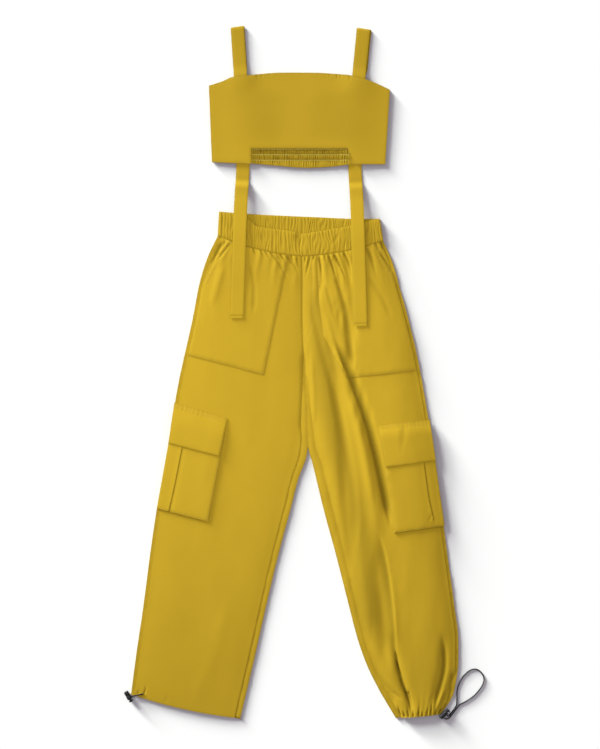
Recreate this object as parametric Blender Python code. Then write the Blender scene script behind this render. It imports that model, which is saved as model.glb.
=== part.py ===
"""A child's two-piece set laid flat: a strapped top over trousers with cargo pockets.

Blender 4.5 script. The world is in metres: X across, Y from the hems up to the straps,
Z up from the surface that the set lies on. Every size below is in millimetres.
"left" and "right" are as seen from above, with the straps at the top.
"""
import math

import bpy
import numpy as np

MM = 0.001

# ---- Cloth -----------------------------------------------------------------
CLOTH = 1.4            # thickness of every cloth wall
GAP = 0.3              # space between pieces, at seams and between layers
LAYER = CLOTH + GAP    # one cloth lying on another
FRONT_BASE = LAYER + CLOTH   # top of a front that lies straight on its back
MUSTARD = (0.56, 0.42, 0.035)
CHARCOAL = (0.035, 0.033, 0.036)

# ---- Places in plan --------------------------------------------------------
# Outlines and folds are given in the picture's dots, right and down from its corner.
DOT = 1.55               # millimetres to a dot
MIDDLE = (292.0, 372.2)  # the dot over the frame's origin


def spot_x(right):
    return (right - MIDDLE[0]) * DOT


def spot_y(down):
    return (MIDDLE[1] - down) * DOT


def spot(right, down):
    """A place in plan, in millimetres."""
    return spot_x(right), spot_y(down)


# ---- Trouser legs ----------------------------------------------------------
# A row for each section, from the waist seam down to the hem. outer and inner are the
# ends of the section, roll is how far the back rolls round onto the front at the inner
# edge, sag how far the section hangs below a straight line, puff how full the leg is.
LEG_COLUMNS = ("outer_x", "outer_y", "inner_x", "inner_y", "roll", "sag", "puff")
LEG_LEFT = (
    (spot(217.8, 236), spot(301.6, 256.5), 0.15, 6.0, 1.0),
    (spot(207.5, 258), spot(302, 285), 0.15, 4.0, 2.2),
    (spot(199.5, 284), spot(302, 318), 0.15, 2.0, 2.8),
    (spot(191.5, 325), spot(303.2, 353), 0.15, 1.0, 2.8),
    (spot(184, 358), spot(304.6, 385), 4.0, 0.5, 2.6),
    (spot(177.2, 390), spot(306.5, 418), 7.5, 0.0, 2.5),
    (spot(170.3, 432), spot(308.2, 448.8), 12.5, 0.0, 2.4),
    (spot(164.5, 466), spot(301.5, 468), 12.0, 0.0, 2.4),
    (spot(157, 508), spot(290.3, 510), 11.0, 0.0, 2.3),
    (spot(150, 556), spot(277.5, 558), 10.5, 1.0, 2.2),
    (spot(143.5, 606), spot(264.8, 612), 10.0, 2.5, 2.0),
    (spot(137, 650), spot(254.5, 658), 10.0, 4.0, 1.6),
    (spot(131.2, 694), spot(240.3, 718), 9.5, 5.0, 0.8),
)
LEG_RIGHT = (
    (spot(383.2, 241), spot(302.0, 256.5), 0.15, 5.0, 1.0),
    (spot(392.5, 263), spot(302.4, 285), 0.15, 3.5, 3.2),
    (spot(400, 289), spot(302.4, 318), 0.15, 2.0, 4.6),
    (spot(408.5, 320), spot(303.6, 353), 0.15, 1.0, 5.8),
    (spot(417.5, 358), spot(305.0, 385), 4.0, 0.5, 6.6),
    (spot(424.5, 396), spot(306.9, 418), 7.5, 0.0, 7.2),
    (spot(431, 435), spot(308.6, 448.8), 11.0, 0.0, 7.6),
    (spot(436, 466), spot(312.4, 463), 13.5, 0.0, 7.8),
    (spot(441.3, 508), spot(323.3, 508), 14.0, 0.0, 7.8),
    (spot(447.5, 556), spot(336.3, 556), 12.5, 0.0, 7.4),
    (spot(454.3, 606), spot(349, 606), 11.0, 0.0, 7.0),
    (spot(458.3, 642), spot(358.6, 642), 10.0, 0.0, 6.6),
    (spot(457.6, 672), spot(370, 672), 10.0, 0.0, 6.0),
    (spot(451.6, 697.5), spot(383.3, 697), 10.0, 0.0, 5.2),
    (spot(440.1, 713.9), spot(395.6, 717.5), 9.0, 0.5, 4.0),
)
OUTER_ROLL = 4.0         # the back's roll onto the front at the side seam
ROLL_LEAST = 2.0         # a roll narrower than this lies flat
# How high a rolled edge stands, from the very edge (0) to where it ends on the back (1).
ROLL_COLUMNS = ("inwards", "rise")
ROLL_SHAPE = ((0, 0.35), (0.3, 1.25), (0.75, 1.7), (1.0, 1.7))
FRONT_COLUMNS = 26       # columns of a front; the left one has half of them below its gathers
GATHERED_DROP = 95.0     # how far down the gathers under the waistband need fine rows
ROW_WAIST = {"left": 11.0, "right": 13.2}   # spacing of the rows in the gathers
ROW_LEG = {"left": 44.0, "right": 30.0}     # and down the smooth and the folded leg
ROW_HEM = 14.3                              # and in the gathers of the right hem

# Gathers under the waistband: a row each, across is the place between the front's outer
# edge (0) and its inner edge (1).
GATHER_COLUMNS = ("across", "half_width", "height", "length")
GATHERS_LEFT = (
    (0.02, 0.050, 1.6, 62), (0.11, 0.045, 2.0, 78), (0.20, 0.045, 1.7, 40),
    (0.30, 0.050, 2.1, 52), (0.40, 0.045, 1.6, 34), (0.50, 0.050, 2.3, 64),
    (0.60, 0.045, 1.9, 44), (0.70, 0.050, 2.4, 70), (0.81, 0.045, 2.0, 50),
    (0.93, 0.050, 2.2, 84),
)
GATHERS_RIGHT = (
    (0.03, 0.050, 1.5, 46), (0.12, 0.045, 2.0, 88), (0.22, 0.050, 1.6, 38),
    (0.32, 0.045, 2.1, 60), (0.42, 0.050, 2.3, 76), (0.52, 0.045, 2.2, 92),
    (0.62, 0.050, 2.6, 110), (0.73, 0.045, 2.1, 70), (0.83, 0.050, 2.4, 96),
    (0.94, 0.045, 1.8, 58),
)
WAIST_RISE = 1.7         # how much higher a front lies where the waistband lifts it
WAIST_RISE_LENGTH = 48.0
HEM_GATHERS = 10         # bunches of the right hem on its drawcord
HEM_GATHER_HEIGHT = 2.2
HEM_GATHER_LENGTH = 42.0

# Folds: a row for each crease, as its line in plan, its half width towards the left and
# the right, and its height, below zero for a trough. It dies away over `fade` at each end.
FOLD_COLUMNS = ("line", "left", "right", "height", "fade")
FOLDS_LEFT = (
    ((spot(269, 250), spot(290, 284)), 4, 4, -1.2, 12),
    ((spot(283, 252), spot(299, 278)), 4, 4, -1.2, 10),
    ((spot(224, 262), spot(214, 305)), 9, 9, 0.8, 30),
    ((spot(212, 430), spot(205, 560)), 22, 26, 0.6, 60),
    ((spot(303, 340), spot(302, 395), spot(299, 440)), 6, 6, -1.6, 25),
    ((spot(230, 600), spot(196, 708)), 16, 16, 0.6, 40),
)
FOLDS_RIGHT = (
    ((spot(317, 250), spot(322, 294)), 6, 6, -2.4, 18),
    ((spot(330, 250), spot(338, 280), spot(346, 306)), 8, 8, -3.0, 22),
    ((spot(343, 252), spot(351, 292), spot(353, 345)), 8, 8, -2.4, 30),
    ((spot(334, 300), spot(346, 335), spot(349, 372)), 8, 7, -2.6, 24),
    ((spot(343, 340), spot(349, 370), spot(357, 410), spot(364, 450), spot(372, 500), spot(379, 540)),
     14, 11, 2.2, 45),
    ((spot(347, 366), spot(355, 392), spot(363, 413), spot(372, 442), spot(381, 478), spot(389, 520)),
     10, 9, -6.6, 26),
    ((spot(327, 340), spot(335, 378), spot(340, 415), spot(344, 453), spot(346, 500),
      spot(350, 535), spot(355, 575)), 14, 14, -3.8, 60),
    ((spot(374, 560), spot(381, 600), spot(385, 640), spot(386, 668)), 16, 10, -3.4, 45),
    ((spot(392, 585), spot(393.5, 620), spot(394, 652)), 8, 8, 1.6, 30),
    ((spot(394.5, 645), spot(401, 678), spot(407, 694), spot(413, 713)), 8, 5, -4.2, 16),
    ((spot(442, 640), spot(443.5, 662), spot(438, 685), spot(432, 704)), 9, 9, -2.8, 20),
    ((spot(451, 672), spot(447, 692), spot(441, 708)), 6, 6, -2.2, 12),
    ((spot(362, 640), spot(370, 657), spot(377, 673), spot(386, 690), spot(398, 706)), 9, 8, -3.0, 22),
    ((spot(404, 300), spot(411, 345)), 14, 9, 1.2, 40),
    ((spot(306, 345), spot(307, 395), spot(310, 430)), 6, 8, -2.0, 25),
)

FOLD_STEP = 6.0          # spacing of the points of a fold's line

# ---- Waistband -------------------------------------------------------------
RIBS = 48                # gathers of each half of the elastic casing
BAND_THICK = 2.0         # two cloths over the elastic
RIB_HEIGHT = 0.8
BAND_BASE = BAND_THICK + RIB_HEIGHT + GAP   # underside of the front half
# The casing from its top edge (0) to its seam (1), and how far the ribs stand up there.
BAND_COLUMNS = ("down", "strength")
BAND_LINES = ((0.0, 0.0), (0.14, 0.75), (0.86, 1.0), (1.0, 0.2))
BACK_BAND_RISE = 25.0    # how far the back's waist seam stands above the front's, at the centre
BAND_TOP_COLUMNS = ("x", "back_y", "front_y")
BAND_TOP = (
    (spot_x(219.2), spot_y(211.7), spot_y(211.9)),
    (spot_x(234), spot_y(212.9), spot_y(213.6)),
    (spot_x(249), spot_y(214), spot_y(219)),
    (spot_x(257.5), spot_y(214.6), spot_y(226.4)),
    (spot_x(275), spot_y(215.5), spot_y(229)),
    (spot_x(291), spot_y(216.2), spot_y(231)),
    (spot_x(302), spot_y(216.7), spot_y(233.8)),
    (spot_x(315), spot_y(217.2), spot_y(232)),
    (spot_x(331), spot_y(218), spot_y(229.3)),
    (spot_x(348), spot_y(218.8), spot_y(226.4)),
    (spot_x(363), spot_y(219), spot_y(221.6)),
    (spot_x(379.8), spot_y(219), spot_y(219.2)),
)

# ---- Top -------------------------------------------------------------------
# The top edge, left to right.
TOP_EDGE = (
    spot(209, 86), spot(222, 82), spot(235, 77), spot(248, 75.8), spot(281, 73), spot(309, 73),
    spot(337, 74.4), spot(351, 76), spot(366, 80), spot(379, 85), spot(389.8, 90),
)
TOP_SIDE_FOOT = (spot(212, 162.4), spot(385.2, 164.6))   # lower corners of the front
NOTCH_TOP = spot_y(148.5)                             # the front's hem is cut out up to here
NOTCH_SIDES = (spot_x(251.2), spot_x(347.2))              # at the top of the cut-out
NOTCH_FEET = (spot(250.3, 164.0), spot(355.6, 164.6))     # where its sides meet the hem
# The back's hem, frilled where the cut-out shows it.
BACK_HEM = (
    spot(212.4, 161.2), spot(236, 162.6), spot(250, 163.6), spot(269, 165.2), spot(309, 168), spot(330, 167),
    spot(348.5, 164.8), spot(362, 163.8), spot(384.6, 163.2),
)
TOP_PUFF = 2.0
TOP_ROWS = (0.0, 0.09, 0.27, 0.45, 0.63, 0.82, 1.0)   # from the top edge to the cut-out
SHIRR_GATHERS = 40       # puckers across the cut-out
SHIRR_HEIGHT = 1.3
SHIRR_TOP = spot_y(149.3)    # the first line of elastic thread
# Lines of the shirring, from the first elastic thread (0) to the hem (1), and how far the
# cloth puckers up on each.
SHIRR_COLUMNS = ("down", "strength")
SHIRR_LINES = ((0.0, 0.0), (0.145, 1.0), (0.29, 0.1), (0.445, 1.0), (0.60, 0.1), (0.78, 1.0), (1.0, 0.8))

# ---- Straps ----------------------------------------------------------------
STRAP_WIDTH = 20.6
STRAP_PLATEAU = 12.5     # half the width of cloth that a strap lifts
STRAP_FOOT = 26.0        # and where that cloth is down again
STRAP_TUCK = 8.5         # a strap's sewn end, under the front's top edge
STRAP_FOLD = 4.0         # where its fold over the top starts, before its highest place
STRAP_FOLD_ANGLES = (60, 30, 0, -30, -60)
STRAP_DOWN = (2.0, 8.0, 15.0)   # above the front's edge: comes off the seam, half down, down
STRAP_STATION = 6.0
STRAP_TOLERANCE = 0.06   # how closely its stations follow it
# Each strap's middle line: the sewn end, the fold over the top, and down its back to the
# free end on the trousers.
STRAP_COLUMNS = ("front_x", "fold_x", "fold_y", "hem_x", "end_x", "end_y")
STRAPS = {
    "left": (spot_x(241.2), spot_x(237.3), spot_y(26.8), spot_x(243.0), spot_x(237.0), spot_y(318.0)),
    "right": (spot_x(357.6), spot_x(363.4), spot_y(29.0), spot_x(354.9), spot_x(360.4), spot_y(325.9)),
}
STRAP_MID_Y = spot_y(205)    # below the top, where the free end starts to swing aside
STRAP_SWING = 0.35           # how much of its swing it has there

# ---- Pockets ---------------------------------------------------------------
# The hip patches, cut from the fronts: their outlines in plan, reaching past the front
# where its own edge is the patch's edge.
PATCH_LEFT = (
    spot(232.7, 226), spot(289, 238), spot(287.4, 256), spot(283.7, 277), spot(263.6, 374.8), spot(172, 351),
    spot(188, 282), spot(203.4, 282),
)
PATCH_RIGHT = (
    spot(316.5, 238), spot(316.7, 256), spot(319, 300), spot(323, 335), spot(346, 378.2), spot(353.3, 377.4),
    spot(430, 369.2), spot(412, 280.8), spot(396.4, 280.8), spot(373.6, 242), spot(373.6, 230),
)
# Cargo pockets and their flaps: corners as outer top, inner top, inner foot, outer foot.
POCKETS = {
    "left": (spot(171.6, 427), spot(224.9, 434.2), spot(208.1, 521.4), spot(157.0, 508.2)),
    "right": (spot(431.0, 431), spot(379.6, 435.5), spot(393.8, 532.2), spot(444.3, 525.8)),
}
FLAPS = {
    "left": (spot(174.6, 402.6), spot(227.3, 418.2), spot(219.2, 455.8), spot(168.7, 442.8)),
    "right": (spot(429.5, 419.6), spot(377.4, 424.7), spot(385.0, 466.6), spot(435.5, 460.2)),
}
POCKET_THICK = 2.8       # the bag and its folded side
FLAP_THICK = 1.6
PRESSED = 0.02           # share of a pocket that its pressed edge takes up
# Lines of a pocket and of a flap, from the outer to the inner side and from top to foot.
POCKET_ACROSS = (0.42, 0.6, 0.8)
POCKET_DOWN = (0.2, 0.4, 0.6, 0.8)
FLAP_ACROSS = (0.2, 0.4, 0.6, 0.8)
FLAP_DOWN = (0.5, 0.7)
PLEAT_AT = 0.235         # the pocket's fold, from its outer edge
PLEAT_DEPTH = 0.9
PLEAT_WIDTH = 1.2
FLAP_CLIMB = 0.9         # where a flap has climbed onto its pocket, as a share of the way to it
EDGE_DROP = 0.5          # how much thinner a pocket or flap is at its pressed edge
POCKET_ROOT = 6.0        # how deep a pocket is started, before it is fitted to the leg
GUIDE_DEPTH = 25.0       # depth of the form it is fitted with
GUIDE_MARGIN = 14.0      # and how far that reaches past the front

# ---- Hem cords and their locks ---------------------------------------------
CORD = 1.9
LOCK_LENGTH = 18.0
BARREL_LENGTH = 13.5
BARREL_RADIUS = 3.6
BARREL_ROUND = 0.7       # how far its blunt end is rounded
BARREL_EDGE = 0.5        # and its open end
GROOVE_RADIUS = 3.0      # the barrel's waist, where the cord runs through it
GROOVE = (5.9, 7.9)      # and where that lies along it
GROOVE_SLOPE = 0.6
BORE_RADIUS = 2.1
BORE_FLOOR = 5.0
STEM_RADIUS = 1.9
STEM_END = 7.0
HEAD_START = 15.5
HEAD_RADIUS = 3.0
HEAD_ROUND = 0.8
STEM_ROUND = 0.3
LOCK_SIDES = 12
# Each lock's blunt end, and the way from it to the plunger.
LOCKS = {
    "left": (spot(126.0, 691.2), (0.483, -0.876)),
    "right": (spot(440.2, 717.4), (0.712, 0.702)),
}
# Middle lines of the cords, from the lock on: x, y, z. The right one comes back to it.
CORD_LEFT = (
    (-248.5, -502.3, 3.7), (-246.7, -501.6, 4.3), (-244.5, -501.0, 4.6), (-241.0, -500.2, 4.7),
    (-237.5, -499.3, 4.7), (-233.5, -498.4, 4.7), (-230.0, -498.0, 4.7),
)
CORD_RIGHT = (
    (240.0, -531.0, 3.6), (241.2, -532.1, 3.4), (242.6, -532.2, 2.6), (244.3, -531.0, 1.6),
    (245.7, -529.2, 1.1), (248.5, -525.5, 1.0), (252.0, -521.0, 1.0), (254.2, -517.5, 1.0),
    (255.2, -513.5, 1.0), (255.5, -508.0, 1.0), (255.5, -500.0, 1.0), (256.0, -493.0, 1.0),
    (258.5, -484.0, 1.0), (264.0, -473.0, 1.0), (273.0, -464.0, 1.0), (282.0, -460.0, 1.0),
    (289.5, -462.0, 1.0), (295.0, -468.0, 1.0), (297.5, -476.0, 1.0), (295.0, -485.0, 1.0),
    (289.0, -494.0, 1.0), (282.0, -501.5, 1.0), (273.0, -508.0, 1.0), (265.0, -512.5, 1.0),
    (260.0, -515.0, 1.0), (257.0, -518.5, 1.0), (254.0, -522.5, 1.0), (250.0, -527.7, 1.0),
    (246.4, -532.3, 1.1), (244.2, -534.9, 1.6), (241.5, -536.6, 2.3), (238.6, -536.9, 3.1),
    (236.8, -536.2, 3.6), (235.7, -535.2, 3.6),
)
CORD_STEP = 4.4          # spacing of a cord's points


# ---- Helpers ---------------------------------------------------------------
def columns(table, names):
    """The table's columns as arrays, by name. A pair in a row counts as two columns."""
    flat = []
    for row in table:
        cells = []
        for cell in row:
            cells.extend(cell if isinstance(cell, tuple) else (cell,))
        flat.append(cells)
    return dict(zip(names, np.array(flat, float).T))


def follow(knots, values, at):
    """A smooth curve through (knots, values) that never overshoots them, read at `at`."""
    knots, values = np.asarray(knots, float), np.asarray(values, float)
    at = np.asarray(at, float)
    step = np.diff(knots)
    rise = np.diff(values) / step
    product = rise[:-1] * rise[1:]
    total = rise[:-1] + rise[1:]
    inner = np.where(product > 0, 2 * product / np.where(product > 0, total, 1), 0)
    slope = np.concatenate(([rise[0]], inner, [rise[-1]]))
    i = np.clip(np.searchsorted(knots, at, side="right") - 1, 0, len(step) - 1)
    t = (at - knots[i]) / step[i]
    t2, t3 = t * t, t * t * t
    return (
        (2 * t3 - 3 * t2 + 1) * values[i]
        + (t3 - 2 * t2 + t) * step[i] * slope[i]
        + (3 * t2 - 2 * t3) * values[i + 1]
        + (t3 - t2) * step[i] * slope[i + 1]
    )


def ease(x):
    x = np.clip(x, 0, 1)
    return x * x * (3 - 2 * x)


def hump(x):
    """One smooth wave: 1 at 0, down to 0 at -1 and 1."""
    return np.cos(np.clip(x, -1, 1) * math.pi / 2) ** 2


def trapezoid(distance, plateau, foot):
    return np.clip((foot - np.abs(distance)) / (foot - plateau), 0, 1)


def line_at(line, x):
    """The height of a line of (x, y) points at x."""
    xs, ys = zip(*line)
    return follow(xs, ys, x)


def spread(start, end, spacing):
    """Evenly spaced values from start to end, about `spacing` apart."""
    return np.linspace(start, end, max(1, round(abs(end - start) / spacing)) + 1)


def crease(x, y, fold):
    """How far a fold raises or lowers the cloth at x, y."""
    line, left, right, height, fade = fold
    route = smooth_route(line, FOLD_STEP)
    start, run = route[:-1], np.diff(route, axis=0)
    length = np.hypot(run[:, 0], run[:, 1])
    before = np.concatenate(([0], np.cumsum(length)))
    px, py = x[:, None] - start[:, 0], y[:, None] - start[:, 1]
    along = np.clip((px * run[:, 0] + py * run[:, 1]) / length**2, 0, 1)
    dx, dy = px - along * run[:, 0], py - along * run[:, 1]
    nearest = np.argmin(dx * dx + dy * dy, axis=1)
    pick = np.arange(len(x))
    dx, dy = dx[pick, nearest], dy[pick, nearest]
    away = np.hypot(dx, dy)
    to_right = dx * -run[nearest, 1] + dy * run[nearest, 0] > 0
    s = before[nearest] + along[pick, nearest] * length[nearest]
    shape = hump(away / np.where(to_right, right, left))
    return height * shape * ease(s / fade + 0.15) * ease((before[-1] - s) / fade + 0.15)


def smooth_route(points, spacing):
    """Points about `spacing` apart on a smooth curve through `points`."""
    points = np.asarray(points, float)
    if len(points) == 2:
        count = max(1, round(float(np.linalg.norm(points[1] - points[0])) / spacing))
        return points[0] + (points[1] - points[0]) * np.linspace(0, 1, count + 1)[:, None]
    ends = [2 * points[0] - points[1]], [2 * points[-1] - points[-2]]
    p = np.concatenate((ends[0], points, ends[1]))
    t = np.linspace(0, 1, 12, endpoint=False)[:, None]
    fine = []
    for a, b, c, d in zip(p[:-3], p[1:-2], p[2:-1], p[3:]):
        fine.append(
            0.5 * (2 * b + (c - a) * t + (2 * a - 5 * b + 4 * c - d) * t**2
                   + (3 * b - a - 3 * c + d) * t**3)
        )
    fine = np.concatenate(fine + [points[-1:]])
    run = np.concatenate(([0], np.cumsum(np.linalg.norm(np.diff(fine, axis=0), axis=1))))
    at = np.linspace(0, run[-1], max(2, round(run[-1] / spacing)) + 1)
    return np.stack([np.interp(at, run, axis) for axis in fine.T], axis=1)


# ---- Materials and meshes --------------------------------------------------
def material(name, colour, roughness):
    finish = bpy.data.materials.new(name)
    finish.use_nodes = True
    shader = finish.node_tree.nodes["Principled BSDF"]
    shader.inputs["Base Color"].default_value = (*colour, 1)
    shader.inputs["Roughness"].default_value = roughness
    shader.inputs["Metallic"].default_value = 0.0
    finish.diffuse_color = (*colour, 1)
    return finish


def place(name, vertices, faces, finish, smooth=False):
    """A mesh object from vertices in millimetres."""
    mesh = bpy.data.meshes.new(name)
    mesh.from_pydata([tuple(float(c) * MM for c in v) for v in vertices], [], faces)
    mesh.validate()
    if smooth:
        mesh.shade_smooth()
        mesh.set_sharp_from_angle(angle=math.radians(40))
    mesh.materials.append(finish)
    body = bpy.data.objects.new(name, mesh)
    bpy.context.scene.collection.objects.link(body)
    return body


def cloth(name):
    return material(name + "_cotton", MUSTARD, 0.85)


class Net:
    """Rows of keyed points in plan, and the faces between them, seen from above."""

    def __init__(self, rows, hole=None, hole_from=None):
        """rows: lists of (key, x, y). Below row `hole_from` the keys of `hole` are open."""
        self.x, self.y, self.rows, self.faces = [], [], [], []
        for row in rows:
            numbered = {}
            for key, x, y in row:
                numbered[key] = len(self.x)
                self.x.append(float(x))
                self.y.append(float(y))
            self.rows.append(numbered)
        self.x, self.y = np.array(self.x), np.array(self.y)
        self.down = False
        for r in range(len(rows) - 1):
            open_here = hole if hole_from is not None and r >= hole_from else None
            self.faces += self.strip(self.rows[r], self.rows[r + 1], open_here)
        self.face_up()

    def strip(self, above, below, hole=None):
        """Faces between two rows, one for each pair of neighbouring keys they share."""
        shared = sorted(set(above) & set(below))
        faces = []
        for a, b in zip(shared, shared[1:]):
            if hole and a >= hole[0] and b <= hole[1]:
                continue
            foot = [below[k] for k in sorted(below) if a <= k <= b]
            head = [above[k] for k in sorted(above) if a <= k <= b]
            faces += [foot + head[::-1]] if len(foot + head) == 4 else self.zip(foot, head)
        return faces

    def zip(self, foot, head):
        """Triangles between two rows of different counts, each to its nearest neighbours."""
        faces, i, j = [], 0, 0
        start = self.x[head[0]]
        while i < len(foot) - 1 or j < len(head) - 1:
            foot_next = abs(self.x[foot[i + 1]] - start) if i < len(foot) - 1 else math.inf
            head_next = abs(self.x[head[j + 1]] - start) if j < len(head) - 1 else math.inf
            if foot_next <= head_next:
                faces.append([foot[i], foot[i + 1], head[j]])
                i += 1
            else:
                faces.append([foot[i], head[j + 1], head[j]])
                j += 1
        return faces

    def face_up(self):
        first = self.faces[0]
        x, y = self.x[first], self.y[first]
        area = np.sum(x * np.roll(y, -1) - np.roll(x, -1) * y)
        self.down = area < 0
        if self.down:
            self.faces = [face[::-1] for face in self.faces]

    def split(self):
        """Triangles for faces, so that layers moved out from the net never cross."""
        self.faces = [
            [face[0], b, c] for face in self.faces for b, c in zip(face[1:], face[2:])
        ]
        return self

    def across(self, first=0):
        """A plain underside: from row `first`, one row of faces straight to the last row."""
        faces = []
        for above, below in zip(self.rows[:first], self.rows[1:first + 1]):
            faces += self.strip(above, below)
        head, foot = self.rows[first], self.rows[-1]
        shared = sorted(set(head) & set(foot))
        span = self.strip(head, foot)
        span[0] += [row[shared[0]] for row in self.rows[first + 1:-1]]
        corner = span[-1].index(foot[shared[-1]]) + 1
        right = [row[shared[-1]] for row in self.rows[first + 1:-1]][::-1]
        span[-1] = span[-1][:corner] + right + span[-1][corner:]
        faces += span
        return [face[::-1] for face in faces] if self.down else faces

    def down_the_sides(self):
        """A plain underside: one face for each row, from edge to edge."""
        faces = []
        last = len(self.rows) - 2
        for r in range(last + 1):
            above, below = self.rows[r], self.rows[r + 1]
            head = [above[k] for k in sorted(above)]
            foot = [below[k] for k in sorted(below)]
            if r > 0:
                head = [head[0], head[-1]]
            if r < last:
                foot = [foot[0], foot[-1]]
            faces.append(foot + head[::-1])
        return [face[::-1] for face in faces] if self.down else faces


def wall(name, net, top, bottom, under=None, finish=None):
    """A closed wall of cloth: the net at `top`, a net at `bottom`, and the edges between."""
    count = len(net.x)
    under = net.faces if under is None else under
    faces = [list(face) for face in net.faces]
    faces += [[i + count for i in face[::-1]] for face in under]
    edges = {(a, b) for face in net.faces for a, b in zip(face, face[1:] + face[:1])}
    faces += [[b, a, a + count, b + count] for a, b in sorted(edges) if (b, a) not in edges]
    heights = np.concatenate((np.broadcast_to(top, count), np.broadcast_to(bottom, count)))
    points = np.stack((np.tile(net.x, 2), np.tile(net.y, 2), heights), axis=1)
    used = sorted({i for face in faces for i in face})
    new = {old: i for i, old in enumerate(used)}
    faces = [[new[i] for i in face] for face in faces]
    return place(name, points[used], faces, finish or cloth(name))


# ---- Legs ------------------------------------------------------------------
class Leg:
    """One trouser leg: its sections, and the height of its front over the floor."""

    def __init__(self, side, table, gathers, folds, hem_gathers):
        self.side = side
        self.gathers, self.folds, self.hem_gathers = gathers, folds, hem_gathers
        self.cut = columns(table, LEG_COLUMNS)
        middle_x = (self.cut["outer_x"] + self.cut["inner_x"]) / 2
        middle_y = (self.cut["outer_y"] + self.cut["inner_y"]) / 2
        run = np.hypot(np.diff(middle_x), np.diff(middle_y))
        self.drops = np.concatenate(([0], np.cumsum(run)))
        self.length = self.drops[-1]
        self.fine = np.linspace(-12, self.length + 12, 900)
        self.fine_cut = {name: self.read(name, self.fine) for name in LEG_COLUMNS}

    def read(self, name, drop):
        return follow(self.drops, self.cut[name], drop)

    def at(self, share, drop):
        """The point of the section at `drop` that lies `share` of the way inwards."""
        x = self.read("outer_x", drop)
        x = x + (self.read("inner_x", drop) - x) * share
        y = self.read("outer_y", drop)
        y = y + (self.read("inner_y", drop) - y) * share
        return x, y - self.read("sag", drop) * 4 * share * (1 - share)

    def width(self, drop):
        across = self.read("inner_x", drop) - self.read("outer_x", drop)
        down = self.read("inner_y", drop) - self.read("outer_y", drop)
        return np.hypot(across, down)

    def front_edges(self, drop):
        """Where the front's outer and inner edges lie, as shares of the section."""
        width = self.width(drop)
        return (OUTER_ROLL + 3 * GAP) / width, 1 - self.read("roll", drop) / width

    def find(self, x, y):
        """The place of x, y on the front, 0 at its outer edge and 1 at its inner, and its drop."""
        cut = self.fine_cut
        span = cut["inner_x"] - cut["outer_x"]
        share = (x[:, None] - cut["outer_x"]) / span
        row_y = cut["outer_y"] + (cut["inner_y"] - cut["outer_y"]) * share
        over = y[:, None] - (row_y - cut["sag"] * 4 * share * (1 - share))
        first = np.clip(np.argmax(over >= 0, axis=1), 1, len(self.fine) - 1)
        never = ~(over >= 0).any(axis=1)
        first[never] = len(self.fine) - 1
        pick = np.arange(len(x))
        a, b = over[pick, first - 1], over[pick, first]
        t = np.clip(-a / np.where(b > a, b - a, 1), 0, 1)
        drop = self.fine[first - 1] + t * (self.fine[first] - self.fine[first - 1])
        at = share[pick, first - 1] * (1 - t) + share[pick, first] * t
        outer, inner = self.front_edges(drop)
        return (at - outer) / (inner - outer), drop

    def height(self, x, y):
        """The top of the front at x, y."""
        x, y = np.atleast_1d(x).astype(float), np.atleast_1d(y).astype(float)
        across, drop = self.find(x, y)
        dome = np.clip(1 - np.clip(np.abs(2 * across - 1), 0, 1) ** 4, 0, 1)
        rise = self.read("puff", np.clip(drop, 0, self.length)) * dome
        rise = rise + WAIST_RISE * (1 - ease(drop / WAIST_RISE_LENGTH))
        for centre, half, height, length in self.gathers:
            fade = np.clip(1 - drop / length, 0, 1) ** 1.4
            rise = rise + height * hump((across - centre) / half) * fade
        for fold in self.folds:
            rise = rise + crease(x, y, fold)
        if self.hem_gathers:
            fade = np.clip(1 - (self.length - drop) / HEM_GATHER_LENGTH, 0, 1) ** 1.3
            wave = 0.5 - 0.5 * np.cos(2 * math.pi * self.hem_gathers * across)
            rise = rise + HEM_GATHER_HEIGHT * wave * fade
        return FRONT_BASE + np.maximum(rise, 0)

    def waist_y(self, x, back=False):
        """The leg's waist seam at x."""
        share = (x - self.cut["outer_x"][0]) / (self.cut["inner_x"][0] - self.cut["outer_x"][0])
        y = self.at(share, 0.0)[1]
        return y + self.back_raise(share, 0.0) if back else y

    def back_raise(self, share, drop):
        fade = 1 - ease(drop / 70.0)
        sag = self.read("sag", drop) * 4 * share * (1 - share)
        return fade * (BACK_BAND_RISE * share + sag)

    def row_drops(self):
        """The drop of each row, and how many of a front's columns go to one of its own."""
        foot = self.length - (HEM_GATHER_LENGTH if self.hem_gathers else 0)
        waist = spread(0, GATHERED_DROP, ROW_WAIST[self.side])
        middle = spread(GATHERED_DROP, foot, ROW_LEG[self.side])[1:]
        if not self.hem_gathers:
            return [(d, 1) for d in waist] + [(d, 2) for d in middle]
        hem = spread(foot, self.length, ROW_HEM)[1:]
        return [(d, 1) for d in np.concatenate((waist, middle, hem))]

    def front_net(self, margin=0.0):
        """The front's net, with a column `margin` further out if one is given."""
        rows = []
        for drop, coarse in self.row_drops():
            outer, inner = self.front_edges(drop)
            row = []
            if margin:
                row.append((-1, *self.at(outer - margin / self.width(drop), drop)))
            for i in range(0, FRONT_COLUMNS + 1, coarse):
                key = i / FRONT_COLUMNS
                row.append((key, *self.at(outer + (inner - outer) * key, drop)))
            rows.append(row)
        return Net(rows).split()

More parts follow.
